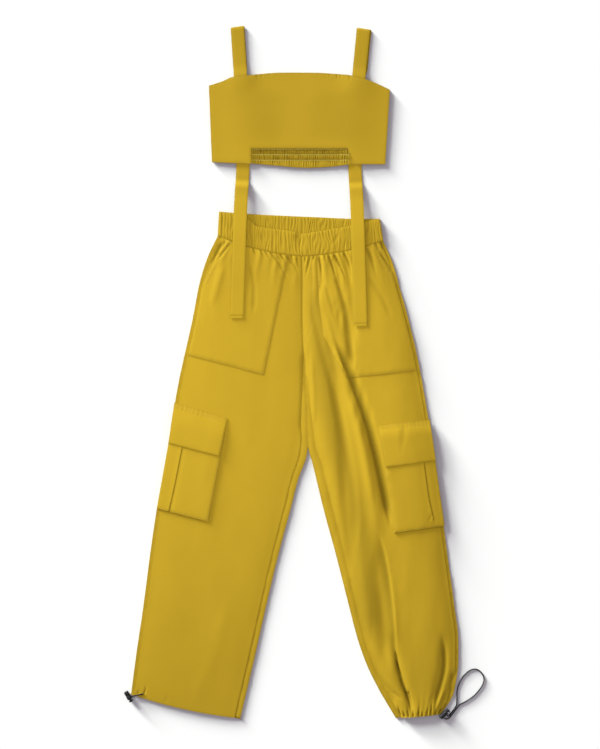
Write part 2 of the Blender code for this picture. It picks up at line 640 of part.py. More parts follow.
    def back_net(self):
        """The back's net, and the height of its top over the floor at each point."""
        rows, heights = [], []
        for drop, _ in self.row_drops():
            width = self.width(drop)
            roll = float(self.read("roll", drop))
            top = max(roll - 4 * GAP, ROLL_LEAST)
            raised = float(ease((roll - 4 * GAP - ROLL_LEAST) / 2.5))
            under_band = 0.75 + 0.25 * float(ease(drop / 20.0))
            cells = [(OUTER_ROLL * inwards, rise * under_band) for inwards, rise in ROLL_SHAPE]
            cells += [(OUTER_ROLL + GAP, 0.0), (width - top - GAP, 0.0)]
            cells += [(width - top * inwards, rise * raised) for inwards, rise in ROLL_SHAPE[::-1]]
            row = []
            for key, (inwards, rise) in enumerate(cells):
                share = inwards / width
                x, y = self.at(share, drop)
                row.append((key, x, y + self.back_raise(share, drop)))
                heights.append(CLOTH + rise)
            rows.append(row)
        return Net(rows), np.array(heights)


def make_leg(leg):
    net = leg.front_net()
    top = leg.height(net.x, net.y)
    front = wall("leg_front_" + leg.side, net, top, top - CLOTH)
    back, height = leg.back_net()
    wall("leg_back_" + leg.side, back, height, 0.0, back.down_the_sides())
    return front


def make_patch(leg, front, outline):
    """The hip patch: the front itself, one layer up, kept only inside the outline."""
    name = "hip_patch_" + leg.side
    cutter_points = [(x, y, z) for z in (-2.0, 40.0) for x, y in outline]
    count = len(outline)
    area = sum(a[0] * b[1] - b[0] * a[1] for a, b in zip(outline, outline[1:] + outline[:1]))
    ring = list(range(count)) if area > 0 else list(range(count))[::-1]
    faces = [ring[::-1], [i + count for i in ring]]
    faces += [[a, b, b + count, a + count] for a, b in zip(ring, ring[1:] + ring[:1])]
    guide = place(name + "_outline", cutter_points, faces, cloth(name + "_outline"))
    guide.hide_render = True
    guide.display_type = "WIRE"
    mesh = front.data.copy()
    mesh.name = name
    mesh.materials.clear()
    mesh.materials.append(cloth(name))
    patch = bpy.data.objects.new(name, mesh)
    patch.location = (0, 0, LAYER * MM)
    bpy.context.scene.collection.objects.link(patch)
    keep = patch.modifiers.new("outline", "BOOLEAN")
    keep.operation = "INTERSECT"
    keep.object = guide
    keep.solver = "EXACT"
    return patch


# ---- Waistband -------------------------------------------------------------
def make_band(name, legs, table, base, back):
    """One half of the elastic waistband, ribbed on the side that shows."""
    left, right = legs["left"], legs["right"]
    split = left.cut["inner_x"][0]
    edge_y = table["back_y"] if back else table["front_y"]
    ends_top = table["x"][0], table["x"][-1]
    ends_foot = left.cut["outer_x"][0], right.cut["outer_x"][0]
    rows, ribs = [], []
    for down, strength in BAND_LINES:
        row = []
        for i in range(2 * RIBS + 1):
            share = i / (2 * RIBS)
            uneven = share + 0.0018 * math.sin(share * 91.0) + 0.0012 * math.sin(share * 37.0)
            uneven = share if i in (0, 2 * RIBS) else uneven
            top_x = ends_top[0] + (ends_top[1] - ends_top[0]) * uneven
            foot_x = ends_foot[0] + (ends_foot[1] - ends_foot[0]) * uneven
            top_y = float(follow(table["x"], edge_y, top_x))
            leg = left if foot_x <= split else right
            foot_y = float(leg.waist_y(foot_x, back)) + GAP
            row.append((i, top_x + (foot_x - top_x) * down, top_y + (foot_y - top_y) * down))
            size = 0.8 + 0.2 * math.sin(i * 1.7) if i % 2 else 0.0
            ribs.append(RIB_HEIGHT * size * strength)
        rows.append(row)
    net = Net(rows)
    wall(name, net, base + BAND_THICK + np.array(ribs), base, net.across())


# ---- Top -------------------------------------------------------------------
def strap_places(side):
    return dict(zip(STRAP_COLUMNS, STRAPS[side]))


def strap_x(side, y):
    """The middle of a strap's back run at y."""
    s = strap_places(side)
    knots = (s["end_y"], STRAP_MID_Y, TOP_SIDE_FOOT[0][1], s["fold_y"])
    middle = s["hem_x"] - (s["hem_x"] - s["end_x"]) * STRAP_SWING
    return follow(knots, (s["end_x"], middle, s["hem_x"], s["fold_x"]), y)


def strap_lift(x, y):
    """How much the straps under the back raise the cloth at x, y."""
    shapes = [
        trapezoid(x - strap_x(side, y), STRAP_PLATEAU, STRAP_FOOT) for side in STRAPS
    ]
    return LAYER * np.maximum(*shapes)


def top_rows(hem, rows_down, notch_keys, lower, lean):
    """Rows of the top in plan, from its top edge to its hem.

    rows_down are shares of the way to the cut-out's line, `lower` of the way from there to
    the hem. notch_keys are the columns inside the cut-out below it, and (3, 6) its sides,
    which lean outwards towards the hem by `lean` of the way to its feet.
    """
    foot_left, foot_right = TOP_SIDE_FOOT
    edge_left, edge_right = TOP_EDGE[0], TOP_EDGE[-1]

    def side(edge, foot, y):
        return edge[0] + (foot[0] - edge[0]) * (edge[1] - y) / (edge[1] - foot[1])

    def key_x(key, y):
        left, right = side(edge_left, foot_left, y), side(edge_right, foot_right, y)
        low = lean * np.clip((NOTCH_TOP - y) / (NOTCH_TOP - NOTCH_FEET[1][1]), 0, 1)
        strap_l, strap_r = float(strap_x("left", y)), float(strap_x("right", y))
        beside = strap_r - float(strap_x("right", NOTCH_TOP)) + NOTCH_SIDES[1]
        notch = (
            NOTCH_SIDES[0] + (NOTCH_FEET[0][0] - NOTCH_SIDES[0]) * low,
            beside + (NOTCH_FEET[1][0] - beside) * low,
        )
        fixed = {
            0: left, 1: strap_l - STRAP_FOOT, 2: strap_l - STRAP_PLATEAU,
            2.5: strap_l + STRAP_PLATEAU, 3: notch[0], 3.2: strap_l + STRAP_FOOT,
            5.8: strap_r - STRAP_FOOT, 6: notch[1], 6.5: strap_r + 4.0,
            7: strap_r + STRAP_PLATEAU, 8: strap_r + STRAP_FOOT, 9: right,
        }
        if key in fixed:
            return fixed[key]
        if 3 < key < 6:
            return notch[0] + (notch[1] - notch[0]) * (key - 3) / 3
        whole = math.floor(key)
        return fixed[whole] + (fixed[whole + 1] - fixed[whole]) * (key - whole)

    def row(y_of, keys):
        cells = []
        for key in keys:
            x = key_x(key, NOTCH_TOP)
            for _ in range(4):
                x = key_x(key, float(y_of(x)))
            cells.append((key, x, float(y_of(x))))
        return cells

    plain = (0, 0.5, 1, 2, 2.5, 3, 3.2, 3.6, 4, 4.5, 5, 5.4, 5.8, 6, 6.5, 7, 8, 8.5, 9)
    rows = []
    for down in rows_down:
        rows.append(row(
            lambda x, d=down: line_at(TOP_EDGE, x) * (1 - d) + NOTCH_TOP * d, plain
        ))
    wing_left = [k for k in plain if k <= 3]
    wing_right = [k for k in plain if k >= 6]
    for down in lower:
        keys = wing_left + list(notch_keys) + wing_right
        rows.append(row(
            lambda x, d=down: SHIRR_TOP * (1 - d) + line_at(hem, x) * d, keys
        ))
    return rows


def top_dome(x, down):
    left, right = TOP_EDGE[0][0], TOP_EDGE[-1][0]
    across = 2 * (x - left) / (right - left) - 1
    return (1 - np.abs(across) ** 4) * (1 - np.abs(2 * down - 1) ** 4)


def make_top():
    """The front, with its hem cut out in the middle, and the shirred back behind it."""
    hem = (TOP_SIDE_FOOT[0], NOTCH_FEET[0], NOTCH_FEET[1], TOP_SIDE_FOOT[1])
    rows = top_rows(hem, TOP_ROWS, (), (0.5, 1.0), lean=1)
    net = Net(rows, hole=(3, 6), hole_from=len(TOP_ROWS) - 1)
    down = np.clip(
        (line_at(TOP_EDGE, net.x) - net.y) / (line_at(TOP_EDGE, net.x) - NOTCH_TOP), 0, 1
    )
    tuck = np.clip((TOP_ROWS[2] - down) / (TOP_ROWS[2] - TOP_ROWS[1]), 0, 1)
    lift = strap_lift(net.x, net.y)
    sewn = [
        trapezoid(net.x - strap_places(side)["front_x"], STRAP_PLATEAU, STRAP_FOOT)
        for side in STRAPS
    ]
    lift = lift + np.maximum(lift, LAYER * np.maximum(*sewn)) * tuck
    top = FRONT_BASE + lift + TOP_PUFF * top_dome(net.x, down)
    wall("top_front", net, top, top - CLOTH)

    shirr_keys = [3 + 3 * i / (2 * SHIRR_GATHERS) for i in range(1, 2 * SHIRR_GATHERS)]
    rows = top_rows(BACK_HEM, TOP_ROWS, shirr_keys, [line for line, _ in SHIRR_LINES], lean=0)
    net = Net(rows)
    raised = np.zeros(len(net.x))
    for (_, strength), row in zip(SHIRR_LINES, net.rows[len(TOP_ROWS):]):
        for i, key in enumerate(shirr_keys):
            size = 0.75 + 0.25 * math.sin(i * 2.3 + strength)
            raised[row[key]] = SHIRR_HEIGHT * strength * size * (1.0 if i % 2 == 0 else 0.15)
    lift = strap_lift(net.x, net.y)
    wall("top_back", net, lift + CLOTH + raised, lift, net.across(len(TOP_ROWS) - 1))


# ---- Straps ----------------------------------------------------------------
def ribbon(name, stations):
    """A flat strap through stations of (middle x, y, z), as wide as a strap."""
    points = np.array(stations, float)
    run = np.gradient(points, axis=0)
    run /= np.linalg.norm(run, axis=1)[:, None]
    side = np.stack((run[:, 1], -run[:, 0], np.zeros(len(run))), axis=1)
    flip = np.where(side[:, :1] > 0, 1.0, -1.0)
    side = side * flip
    length = np.linalg.norm(side, axis=1)[:, None]
    side = np.where(length > 0.2, side / np.maximum(length, 1e-6), (1.0, 0.0, 0.0))
    up = np.cross(side, run)
    half = side * STRAP_WIDTH / 2
    thick = up * CLOTH / 2
    rings = np.stack(
        (points - half - thick, points + half - thick, points + half + thick,
         points - half + thick), axis=1
    )
    vertices = rings.reshape(-1, 3)
    faces = [[0, 1, 2, 3]]
    for r in range(len(points) - 1):
        for c in range(4):
            a, b = 4 * r + c, 4 * r + (c + 1) % 4
            faces.append([b, a, a + 4, b + 4])
    faces.append([4 * len(points) - k for k in (1, 2, 3, 4)])
    return place(name, vertices, faces, cloth(name))


def needed(stations, tolerance):
    """The stations that a run needs: straight stretches keep only their ends."""
    points = [np.array(station, float) for station in stations]
    kept, start = [0], 0
    for end in range(2, len(points)):
        a, run = points[start], points[end] - points[start]
        between = points[start + 1:end]
        away = [np.linalg.norm(np.cross(run, p - a)) / np.linalg.norm(run) for p in between]
        if max(away) > tolerance:
            start = end - 1
            kept.append(start)
    return [stations[i] for i in kept + [len(points) - 1]]


def floor_under(side, legs, table, y):
    """The highest thing under a strap's free end at y, over the strap's whole width."""
    x = float(strap_x(side, y)) + np.linspace(-STRAP_WIDTH / 2 - 1, STRAP_WIDTH / 2 + 1, 7)
    leg = legs[side]
    y_all = np.full(len(x), y)
    back_top = follow(table["x"], table["back_y"], x)
    front_top = follow(table["x"], table["front_y"], x)
    seam = leg.waist_y(x)
    height = np.zeros(len(x))
    height = np.where(y <= back_top + 1, BAND_THICK + RIB_HEIGHT, height)
    band_high = BAND_BASE + BAND_THICK + RIB_HEIGHT
    height = np.where(y <= front_top + 1, band_high, height)
    on_leg = np.where(y <= seam + 1, leg.height(x, y_all) + LAYER, 0)
    return float(np.maximum(height, on_leg).max())


def make_strap(side, legs, table):
    s = strap_places(side)
    edge_y = float(line_at(TOP_EDGE, s["front_x"]))
    high, low = 2 * LAYER + CLOTH / 2, LAYER + CLOTH / 2
    before_fold = s["fold_y"] - STRAP_FOLD
    heights = (
        (edge_y - STRAP_TUCK, high), (edge_y + STRAP_DOWN[0], high),
        (edge_y + STRAP_DOWN[1], (high + low) / 2), (edge_y + STRAP_DOWN[2], low),
        ((edge_y + s["fold_y"]) / 2, low), (before_fold, low),
    )
    stations = []
    for y, z in heights:
        share = (y - edge_y) / (s["fold_y"] - edge_y)
        stations.append((s["front_x"] + (s["fold_x"] - s["front_x"]) * max(share, 0), y, z))
    radius = LAYER / 2
    for angle in STRAP_FOLD_ANGLES:
        a = math.radians(angle)
        y = s["fold_y"] - CLOTH / 2 - radius + radius * math.cos(a)
        stations.append((s["fold_x"], y, CLOTH / 2 + radius + radius * math.sin(a)))
    runs = spread(before_fold, s["end_y"], STRAP_STATION)
    probe = spread(s["fold_y"], s["end_y"] - 20.0, 2.0)
    clear_of_top = TOP_SIDE_FOOT[0][1] - 20.0
    need = np.array([
        floor_under(side, legs, table, y) if y < clear_of_top else 0.0 for y in probe
    ])
    reach, soft = 4, 3
    wide = np.array([need[max(0, i - reach):i + reach + 1].max() for i in range(len(need))])
    calm = np.array([wide[max(0, i - soft):i + soft + 1].mean() for i in range(len(wide))])
    for y in runs:
        z = float(np.interp(-y, -probe, calm))
        z = z + GAP if z > 0.01 else 0.0
        stations.append((float(strap_x(side, y)), y, z + CLOTH / 2))
    ribbon("top_strap_" + side, needed(stations, STRAP_TOLERANCE))


# ---- Cargo pockets ---------------------------------------------------------
def bilinear(corners, across, down):
    """A point of a four-cornered piece, from its outer to its inner side and down."""
    outer_top, inner_top, inner_foot, outer_foot = (np.array(c, float) for c in corners)
    top = outer_top + (inner_top - outer_top) * across
    foot = outer_foot + (inner_foot - outer_foot) * across
    return top + (foot - top) * down


def cut_away(body, guide):
    """Take the guide's form out of a body."""
    guide.hide_render = True
    guide.display_type = "WIRE"
    cut = body.modifiers.new(guide.name, "BOOLEAN")
    cut.operation = "DIFFERENCE"
    cut.object = guide
    cut.solver = "EXACT"


def make_leg_guide(leg):
    """The leg's own surface, a seam's gap higher and solid below, to fit pockets to."""
    net = leg.front_net(GUIDE_MARGIN)
    top = leg.height(net.x, net.y)
    return wall("leg_surface_" + leg.side, net, top + GAP, top - GUIDE_DEPTH)


def make_pocket(leg):
    """A cargo pocket with its fold, and the flap over it."""
    surface = make_leg_guide(leg)
    corners = POCKETS[leg.side]
    pleat = PLEAT_WIDTH / np.linalg.norm(np.subtract(corners[0], corners[1]))
    fold = (PLEAT_AT - pleat, PLEAT_AT, PLEAT_AT + pleat)
    across = [0, PRESSED, *fold, *POCKET_ACROSS, 1 - PRESSED, 1]
    downs = [0, PRESSED, *POCKET_DOWN, 1 - PRESSED, 1]
    net = Net([[(a, *bilinear(corners, a, d)) for a in across] for d in downs])
    rise = np.full(len(net.x), POCKET_THICK)
    for down, row in zip(downs, net.rows):
        for a, i in row.items():
            if a in (0, 1) or down in (0, 1):
                rise[i] -= EDGE_DROP
            elif a == PLEAT_AT:
                rise[i] -= PLEAT_DEPTH
    on_leg = leg.height(net.x, net.y) + GAP
    name = "cargo_pocket_" + leg.side
    pocket = wall(name, net, on_leg + rise, on_leg - POCKET_ROOT)
    cut_away(pocket, surface)

    corners = FLAPS[leg.side]
    head, foot = bilinear(corners, 0.5, 0), bilinear(corners, 0.5, 1)
    bag_top = bilinear(POCKETS[leg.side], 0.5, 0)
    climb = FLAP_CLIMB * np.linalg.norm(head - bag_top) / np.linalg.norm(head - foot)
    across = [0, PRESSED, *FLAP_ACROSS, 1 - PRESSED, 1]
    downs = [0, climb / 2, climb, *FLAP_DOWN, 1 - PRESSED, 1]
    net = Net([[(a, *bilinear(corners, a, d)) for a in across] for d in downs])
    base = leg.height(net.x, net.y) + GAP
    rise = np.zeros(len(net.x))
    thick = np.full(len(net.x), FLAP_THICK)
    for down, row in zip(downs, net.rows):
        for a, i in row.items():
            rise[i] = (POCKET_THICK + GAP) * min(down / climb, 1.0)
            if a in (0, 1) or down in (0, 1):
                thick[i] -= EDGE_DROP
    flap = wall("cargo_flap_" + leg.side, net, base + rise + thick, base + rise)
    cut_away(flap, surface)
    lifted = bpy.data.objects.new(name + "_lifted", pocket.data.copy())
    lifted.location = (0, 0, GAP * MM)
    bpy.context.scene.collection.objects.link(lifted)
    cut_away(flap, lifted)


# ---- Hem cords and their locks ---------------------------------------------
def turned(name, profile, base, way, finish):
    """A body turned round a lock's axis, from a closed profile of (along, radius) points."""
    axis = np.array((way[0], way[1], 0.0))
    axis /= np.linalg.norm(axis)
    side = np.array((axis[1], -axis[0], 0.0))
    origin = np.array((base[0], base[1], BARREL_RADIUS))
    vertices, rings, faces = [], [], []
    for along, radius in profile:
        if radius == 0:
            rings.append([len(vertices)] * LOCK_SIDES)
            vertices.append(origin + axis * along)
            continue
        rings.append(list(range(len(vertices), len(vertices) + LOCK_SIDES)))
        for k in range(LOCK_SIDES):
            a = 2 * math.pi * k / LOCK_SIDES
            out = side * math.cos(a) + np.array((0, 0, 1.0)) * math.sin(a)
            vertices.append(origin + axis * along + out * radius)
    for low, high in zip(rings, rings[1:]):
        for k in range(LOCK_SIDES):
            n = (k + 1) % LOCK_SIDES
            face = [low[k], high[k], high[n], low[n]]
            tidy = [v for i, v in enumerate(face) if v != face[i - 1]]
            if len(tidy) > 2:
                faces.append(tidy)
    return place(name, vertices, faces, finish, smooth=True)


def make_lock(side):
    base, way = LOCKS[side]
    finish = material("cord_lock_" + side, CHARCOAL, 0.45)
    r, edge, (start, end) = BARREL_RADIUS, BARREL_EDGE, GROOVE
    barrel = (
        (0, 0), (0, r - BARREL_ROUND), (BARREL_ROUND, r), (start, r),
        (start + GROOVE_SLOPE, GROOVE_RADIUS), (end - GROOVE_SLOPE, GROOVE_RADIUS), (end, r),
        (BARREL_LENGTH - edge, r), (BARREL_LENGTH, r - edge), (BARREL_LENGTH, BORE_RADIUS),
        (BORE_FLOOR, BORE_RADIUS), (BORE_FLOOR, 0),
    )
    turned("lock_barrel_" + side, barrel, base, way, finish)
    plunger = (
        (STEM_END, 0), (STEM_END, STEM_RADIUS - STEM_ROUND), (STEM_END + STEM_ROUND, STEM_RADIUS),
        (HEAD_START, STEM_RADIUS), (HEAD_START, HEAD_RADIUS), (LOCK_LENGTH - HEAD_ROUND, HEAD_RADIUS),
        (LOCK_LENGTH, HEAD_RADIUS - HEAD_ROUND), (LOCK_LENGTH, 0),
    )
    turned("lock_plunger_" + side, plunger, base, way, finish)


def make_cord(name, points):
    route = smooth_route(points, CORD_STEP)
    curve = bpy.data.curves.new(name, "CURVE")
    curve.dimensions = "3D"
    curve.bevel_depth = CORD / 2 * MM
    curve.bevel_resolution = 2
    curve.use_fill_caps = True
    spline = curve.splines.new("POLY")
    spline.points.add(len(route) - 1)
    for point, (x, y, z) in zip(spline.points, route):
        point.co = (x * MM, y * MM, z * MM, 1)
    curve.materials.append(material(name + "_braid", CHARCOAL, 0.7))
    bpy.context.scene.collection.objects.link(bpy.data.objects.new(name, curve))


def main():
    for old in list(bpy.data.objects):
        bpy.data.objects.remove(old)
    legs = {
        "left": Leg("left", LEG_LEFT, GATHERS_LEFT, FOLDS_LEFT, 0),
        "right": Leg("right", LEG_RIGHT, GATHERS_RIGHT, FOLDS_RIGHT, HEM_GATHERS),
    }
    outlines = {"left": PATCH_LEFT, "right": PATCH_RIGHT}
    for side, leg in legs.items():
        front = make_leg(leg)
        make_patch(leg, front, outlines[side])
        make_pocket(leg)
    band_top = columns(BAND_TOP, BAND_TOP_COLUMNS)
    make_band("waistband_back", legs, band_top, 0.0, True)
    make_band("waistband_front", legs, band_top, BAND_BASE, False)
    make_top()
    for side in STRAPS:
        make_strap(side, legs, band_top)
        make_lock(side)
    make_cord("hem_cord_left", CORD_LEFT)
    make_cord("hem_cord_right", CORD_RIGHT)


main()
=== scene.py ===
import math

import bmesh
import bpy
import numpy as np
from mathutils import Matrix, Vector, kdtree, noise
from mathutils.bvhtree import BVHTree
from mathutils.geometry import delaunay_2d_cdt


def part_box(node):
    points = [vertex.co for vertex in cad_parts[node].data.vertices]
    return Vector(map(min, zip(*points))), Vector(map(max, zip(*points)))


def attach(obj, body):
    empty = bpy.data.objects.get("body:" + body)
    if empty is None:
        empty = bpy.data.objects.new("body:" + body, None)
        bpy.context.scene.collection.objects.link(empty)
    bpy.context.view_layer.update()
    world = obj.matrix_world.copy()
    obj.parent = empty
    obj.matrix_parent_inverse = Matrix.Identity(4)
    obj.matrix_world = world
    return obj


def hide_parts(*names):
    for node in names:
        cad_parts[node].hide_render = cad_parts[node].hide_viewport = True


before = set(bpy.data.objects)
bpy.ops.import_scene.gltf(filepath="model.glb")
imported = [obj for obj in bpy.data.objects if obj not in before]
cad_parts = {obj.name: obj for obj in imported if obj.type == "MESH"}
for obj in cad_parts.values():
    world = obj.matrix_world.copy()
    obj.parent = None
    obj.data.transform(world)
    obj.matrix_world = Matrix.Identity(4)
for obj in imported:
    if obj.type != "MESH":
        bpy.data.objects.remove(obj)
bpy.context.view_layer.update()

mm = 0.001
bpy.ops.object.select_all(action="DESELECT")

# the picture's dots: outlines, folds and stitching are placed by them, as in the cut
dot = 1.55
middle = (292.0, 372.2)
setBody = "set"


def spot(right, down):
    return (right - middle[0]) * dot, (middle[1] - down) * dot


studio = {
    "frameCentre": spot(300.0, 374.5), "frameHeight": 749 * dot, "lens": 85.0, "sensor": 36.0,
    "farClip": 20, "skyStrength": 0.45, "skyColour": (0.95, 0.88, 0.98), "sunHeight": 3,
}
paper = {"size": 8, "below": 0.0002, "shade": 0.76, "roughness": 0.9, "shine": 0.1}
# a low, wide key from the upper left
key = {"towards": (-0.95, 1.0, 0.29), "softness": 25.0, "strength": 10.8, "colour": (0.956, 1.0, 0.937)}
# a lower one that only the paper takes, for the long soft shadow beside the cloth
paperKey = {"towards": (-0.95, 1.0, 0.17), "softness": 8.0, "strength": 6.2, "colour": (0.956, 1.0, 0.937)}
# hung over the trousers' hips and kept off the paper, so the cloth dims towards its ends
lamp = {"over": spot(252.0, 350.0), "height": 0.85, "size": 0.6, "watts": 9.5}


def node(tree, kind, **values):
    made = tree.nodes.new(kind)
    for name, value in values.items():
        if name in made.inputs:
            made.inputs[name].default_value = value
        else:
            setattr(made, name, value)
    return made


def wire(tree, start, startSocket, end, endSocket):
    tree.links.new(start.outputs[startSocket], end.inputs[endSocket])


def material(name, roughness, shine, sheen=0.0):
    made = bpy.data.materials.new(name)
    made.use_nodes = True
    shader = made.node_tree.nodes["Principled BSDF"]
    shader.inputs["Roughness"].default_value = roughness
    shader.inputs["Specular IOR Level"].default_value = shine
    shader.inputs["Sheen Weight"].default_value = sheen
    return made, made.node_tree, shader


def blend(tree, share, low, high):  # a colour between two, by another node's output
    tone = node(tree, "ShaderNodeMix", data_type="RGBA")
    tone.inputs[6].default_value = low
    tone.inputs[7].default_value = high
    tree.links.new(share, tone.inputs["Factor"])
    return tone


def bumped(tree, height, strength, tall, below=None):
    bump = node(tree, "ShaderNodeBump", Strength=strength, Distance=tall * mm)
    tree.links.new(height, bump.inputs["Height"])
    if below:
        tree.links.new(below.outputs["Normal"], bump.inputs["Normal"])
    return bump


def texture(tree, place, kind, socket="Object", **values):
    made = node(tree, kind, **values)
    wire(tree, place, socket, made, "Vector")
    return made


def bands(tree, place, way, size, socket="Object", **values):
    return texture(tree, place, "ShaderNodeTexWave", socket, wave_type="BANDS", bands_direction=way,
                   Scale=0.314 / size, **values)


def paint(tree, shader, tone, bump=None):
    tree.links.new(tone.outputs[2], shader.inputs["Base Color"])
    if bump:
        tree.links.new(bump.outputs["Normal"], shader.inputs["Normal"])


def addCamera():
    centre = Vector(studio["frameCentre"]) * mm
    away = studio["frameHeight"] * mm * studio["lens"] / studio["sensor"]
    bpy.ops.object.camera_add(location=(centre.x, centre.y, away), rotation=(0, 0, 0))
    camera = bpy.context.object
    camera.data.lens = studio["lens"]
    camera.data.sensor_width = studio["sensor"]
    camera.data.clip_end = studio["farClip"]
    bpy.context.scene.camera = camera


def addSun(look):
    bpy.ops.object.light_add(type="SUN", location=(0, 0, studio["sunHeight"]))
    sun = bpy.context.object
    sun.data.energy = look["strength"]
    sun.data.angle = math.radians(look["softness"])
    sun.data.color = look["colour"]
    sun.rotation_euler = Vector(look["towards"]).to_track_quat("Z", "Y").to_euler()
    return sun


def keepTo(light, floor, state):  # whether a light falls on the paper alone or on all but it
    taker = bpy.data.collections.new("litBy" + light.name)
    taker.objects.link(floor)
    taker.collection_objects[0].light_linking.link_state = state
    light.light_linking.receiver_collection = taker


def addLight(floor):
    addSun(key)
    keepTo(addSun(paperKey), floor, "INCLUDE")
    over = lamp["over"]
    bpy.ops.object.light_add(type="AREA", location=(over[0] * mm, over[1] * mm, lamp["height"]))
    hanging = bpy.context.object
    hanging.data.size = lamp["size"]
    hanging.data.energy = lamp["watts"]
    keepTo(hanging, floor, "EXCLUDE")
    world = bpy.context.scene.world or bpy.data.worlds.new("sky")
    bpy.context.scene.world = world
    world.use_nodes = True
    sky = world.node_tree.nodes["Background"]
    sky.inputs["Color"].default_value = (*studio["skyColour"], 1)
    sky.inputs["Strength"].default_value = studio["skyStrength"]
    bpy.context.scene.view_settings.view_transform = "Standard"


def addFloor():
    bpy.ops.mesh.primitive_plane_add(size=paper["size"], location=(0, 0, -paper["below"]))
    floor = bpy.context.object
    floor.name = "floor"
    finish, _, shader = material("paper", paper["roughness"], paper["shine"])
    shader.inputs["Base Color"].default_value = (paper["shade"],) * 3 + (1,)
    floor.data.materials.append(finish)
    return floor


addCamera()
addLight(addFloor())
print("camera, light and floor")


cottonLook = {
    # fold: the painted shade colour, which the cloth takes by each point's amount of painted shade
    "light": (0.274, 0.176, 0.0066, 1), "deep": (0.265, 0.170, 0.0062, 1), "fold": (0.104, 0.067, 0.0005, 1),
    "threadMm": 0.55, "threadBump": 0.10, "threadTall": 0.15,
    "crinkleMm": 16.0, "crinkleBump": 0.10, "crinkleTall": 1.2, "mottleMm": 60.0,
    "roughness": 0.86, "shine": 0.12, "sheen": 0.03, "sheenRoughness": 0.4,
}


def cottonMaterial(name, crinkle=1.0):
    look = cottonLook
    cotton, tree, shader = material(name, look["roughness"], look["shine"], look["sheen"])
    shader.inputs["Sheen Roughness"].default_value = look["sheenRoughness"]
    place = node(tree, "ShaderNodeTexCoord")

    mottle = texture(tree, place, "ShaderNodeTexNoise", Scale=1 / (look["mottleMm"] * mm), Detail=4.0)
    ramp = node(tree, "ShaderNodeMapRange")
    ramp.inputs["From Min"].default_value = 0.35
    ramp.inputs["From Max"].default_value = 0.65
    wire(tree, mottle, "Fac", ramp, "Value")
    tone = blend(tree, ramp.outputs["Result"], look["deep"], look["light"])
    # painted shade: the cloth is darkened towards the fold colour by each point's painted-shade amount
    paintedShade = node(tree, "ShaderNodeAttribute", attribute_name="paintedShade")
    shaded = blend(tree, paintedShade.outputs["Fac"], look["fold"], look["fold"])
    tree.links.new(tone.outputs[2], shaded.inputs[6])
    weave = node(tree, "ShaderNodeMath", operation="MULTIPLY")
    for socket, way in enumerate("XY"):
        thread = bands(tree, place, way, look["threadMm"] * mm, Distortion=1.2, Detail=1.0)
        tree.links.new(thread.outputs["Fac"], weave.inputs[socket])
    threads = bumped(tree, weave.outputs[0], look["threadBump"], look["threadTall"])
    crinkled = texture(tree, place, "ShaderNodeTexNoise", Scale=1 / (look["crinkleMm"] * mm), Detail=5.0,
                       Roughness=0.6, Distortion=0.5)
    soft = bumped(tree, crinkled.outputs["Fac"], look["crinkleBump"] * crinkle, look["crinkleTall"], threads)
    paint(tree, shader, shaded, soft)
    return cotton


threadLook = {
    "sewing": (0.40, 0.262, 0.018, 1), "elastic": (0.60, 0.53, 0.13, 1), "roughness": 0.6, "shine": 0.5,
    "twist": 1400.0, "shade": 0.72,
}
braidLook = {
    # dark and light: painted shade in the grooves between strands, against the strands' crowns
    "dark": (0.003, 0.003, 0.0035, 1), "light": (0.009, 0.0087, 0.0098, 1), "roughness": 0.7, "shine": 0.15,
    "sheen": 0.03, "turnMm": 1.6, "lay": 38, "bump": 0.7, "tall": 0.25,
}
lockLook = {
    "dark": (0.004, 0.004, 0.0043, 1), "worn": (0.010, 0.0097, 0.0105, 1), "roughness": 0.6, "shine": 0.2,
    "grain": 900.0, "bump": 0.15, "tall": 0.05,
}


def threadMaterial(name, colour):
    look = threadLook
    thread, tree, shader = material(name, look["roughness"], look["shine"])
    place = node(tree, "ShaderNodeTexCoord")
    twist = texture(tree, place, "ShaderNodeTexNoise", Scale=look["twist"], Detail=2.0)
    dark = tuple(c * look["shade"] for c in colour[:3]) + (1,)
    paint(tree, shader, blend(tree, twist.outputs["Fac"], dark, colour))
    return thread


def braidMaterial():
    look = braidLook
    braid, tree, shader = material("cordBraid", look["roughness"], look["shine"], look["sheen"])
    place = node(tree, "ShaderNodeTexCoord")
    both = node(tree, "ShaderNodeMath", operation="MAXIMUM")
    for socket, turn in enumerate((1, -1)):
        lay = texture(tree, place, "ShaderNodeMapping", "UV")
        lay.inputs["Rotation"].default_value = (0, 0, turn * math.radians(look["lay"]))
        strand = bands(tree, lay, "X", look["turnMm"], "Vector")
        tree.links.new(strand.outputs["Fac"], both.inputs[socket])
    # painted shade: the grooves between the strands are darker than their crowns
    tone = blend(tree, both.outputs[0], look["dark"], look["light"])
    paint(tree, shader, tone, bumped(tree, both.outputs[0], look["bump"], look["tall"]))
    return braid


def lockMaterial():
    look = lockLook
    plastic, tree, shader = material("lockPlastic", look["roughness"], look["shine"])
    place = node(tree, "ShaderNodeTexCoord")
    grain = texture(tree, place, "ShaderNodeTexNoise", Scale=look["grain"], Detail=3.0)
    tone = blend(tree, grain.outputs["Fac"], look["dark"], look["worn"])
    paint(tree, shader, tone, bumped(tree, grain.outputs["Fac"], look["bump"], look["tall"]))
    return plastic


cotton = cottonMaterial("mustardPoplin")
cottonSmooth = cottonMaterial("mustardPoplinPressed", crinkle=0.45)
sewingThread = threadMaterial("sewingThread", threadLook["sewing"])
elasticThread = threadMaterial("elasticThread", threadLook["elastic"])
braidFinish = braidMaterial()
lockFinish = lockMaterial()
print("finishes")


def lengths(points):  # how far along a run each of its points lies
    return np.concatenate(([0], np.cumsum(np.linalg.norm(np.diff(points, axis=0), axis=1))))


def unit(ways):
    return ways / np.maximum(np.linalg.norm(ways, axis=1)[:, None], 1e-6)


def leftOf(run):
    way = np.gradient(run, axis=0)
    return unit(np.stack((-way[:, 1], way[:, 0]), axis=1))


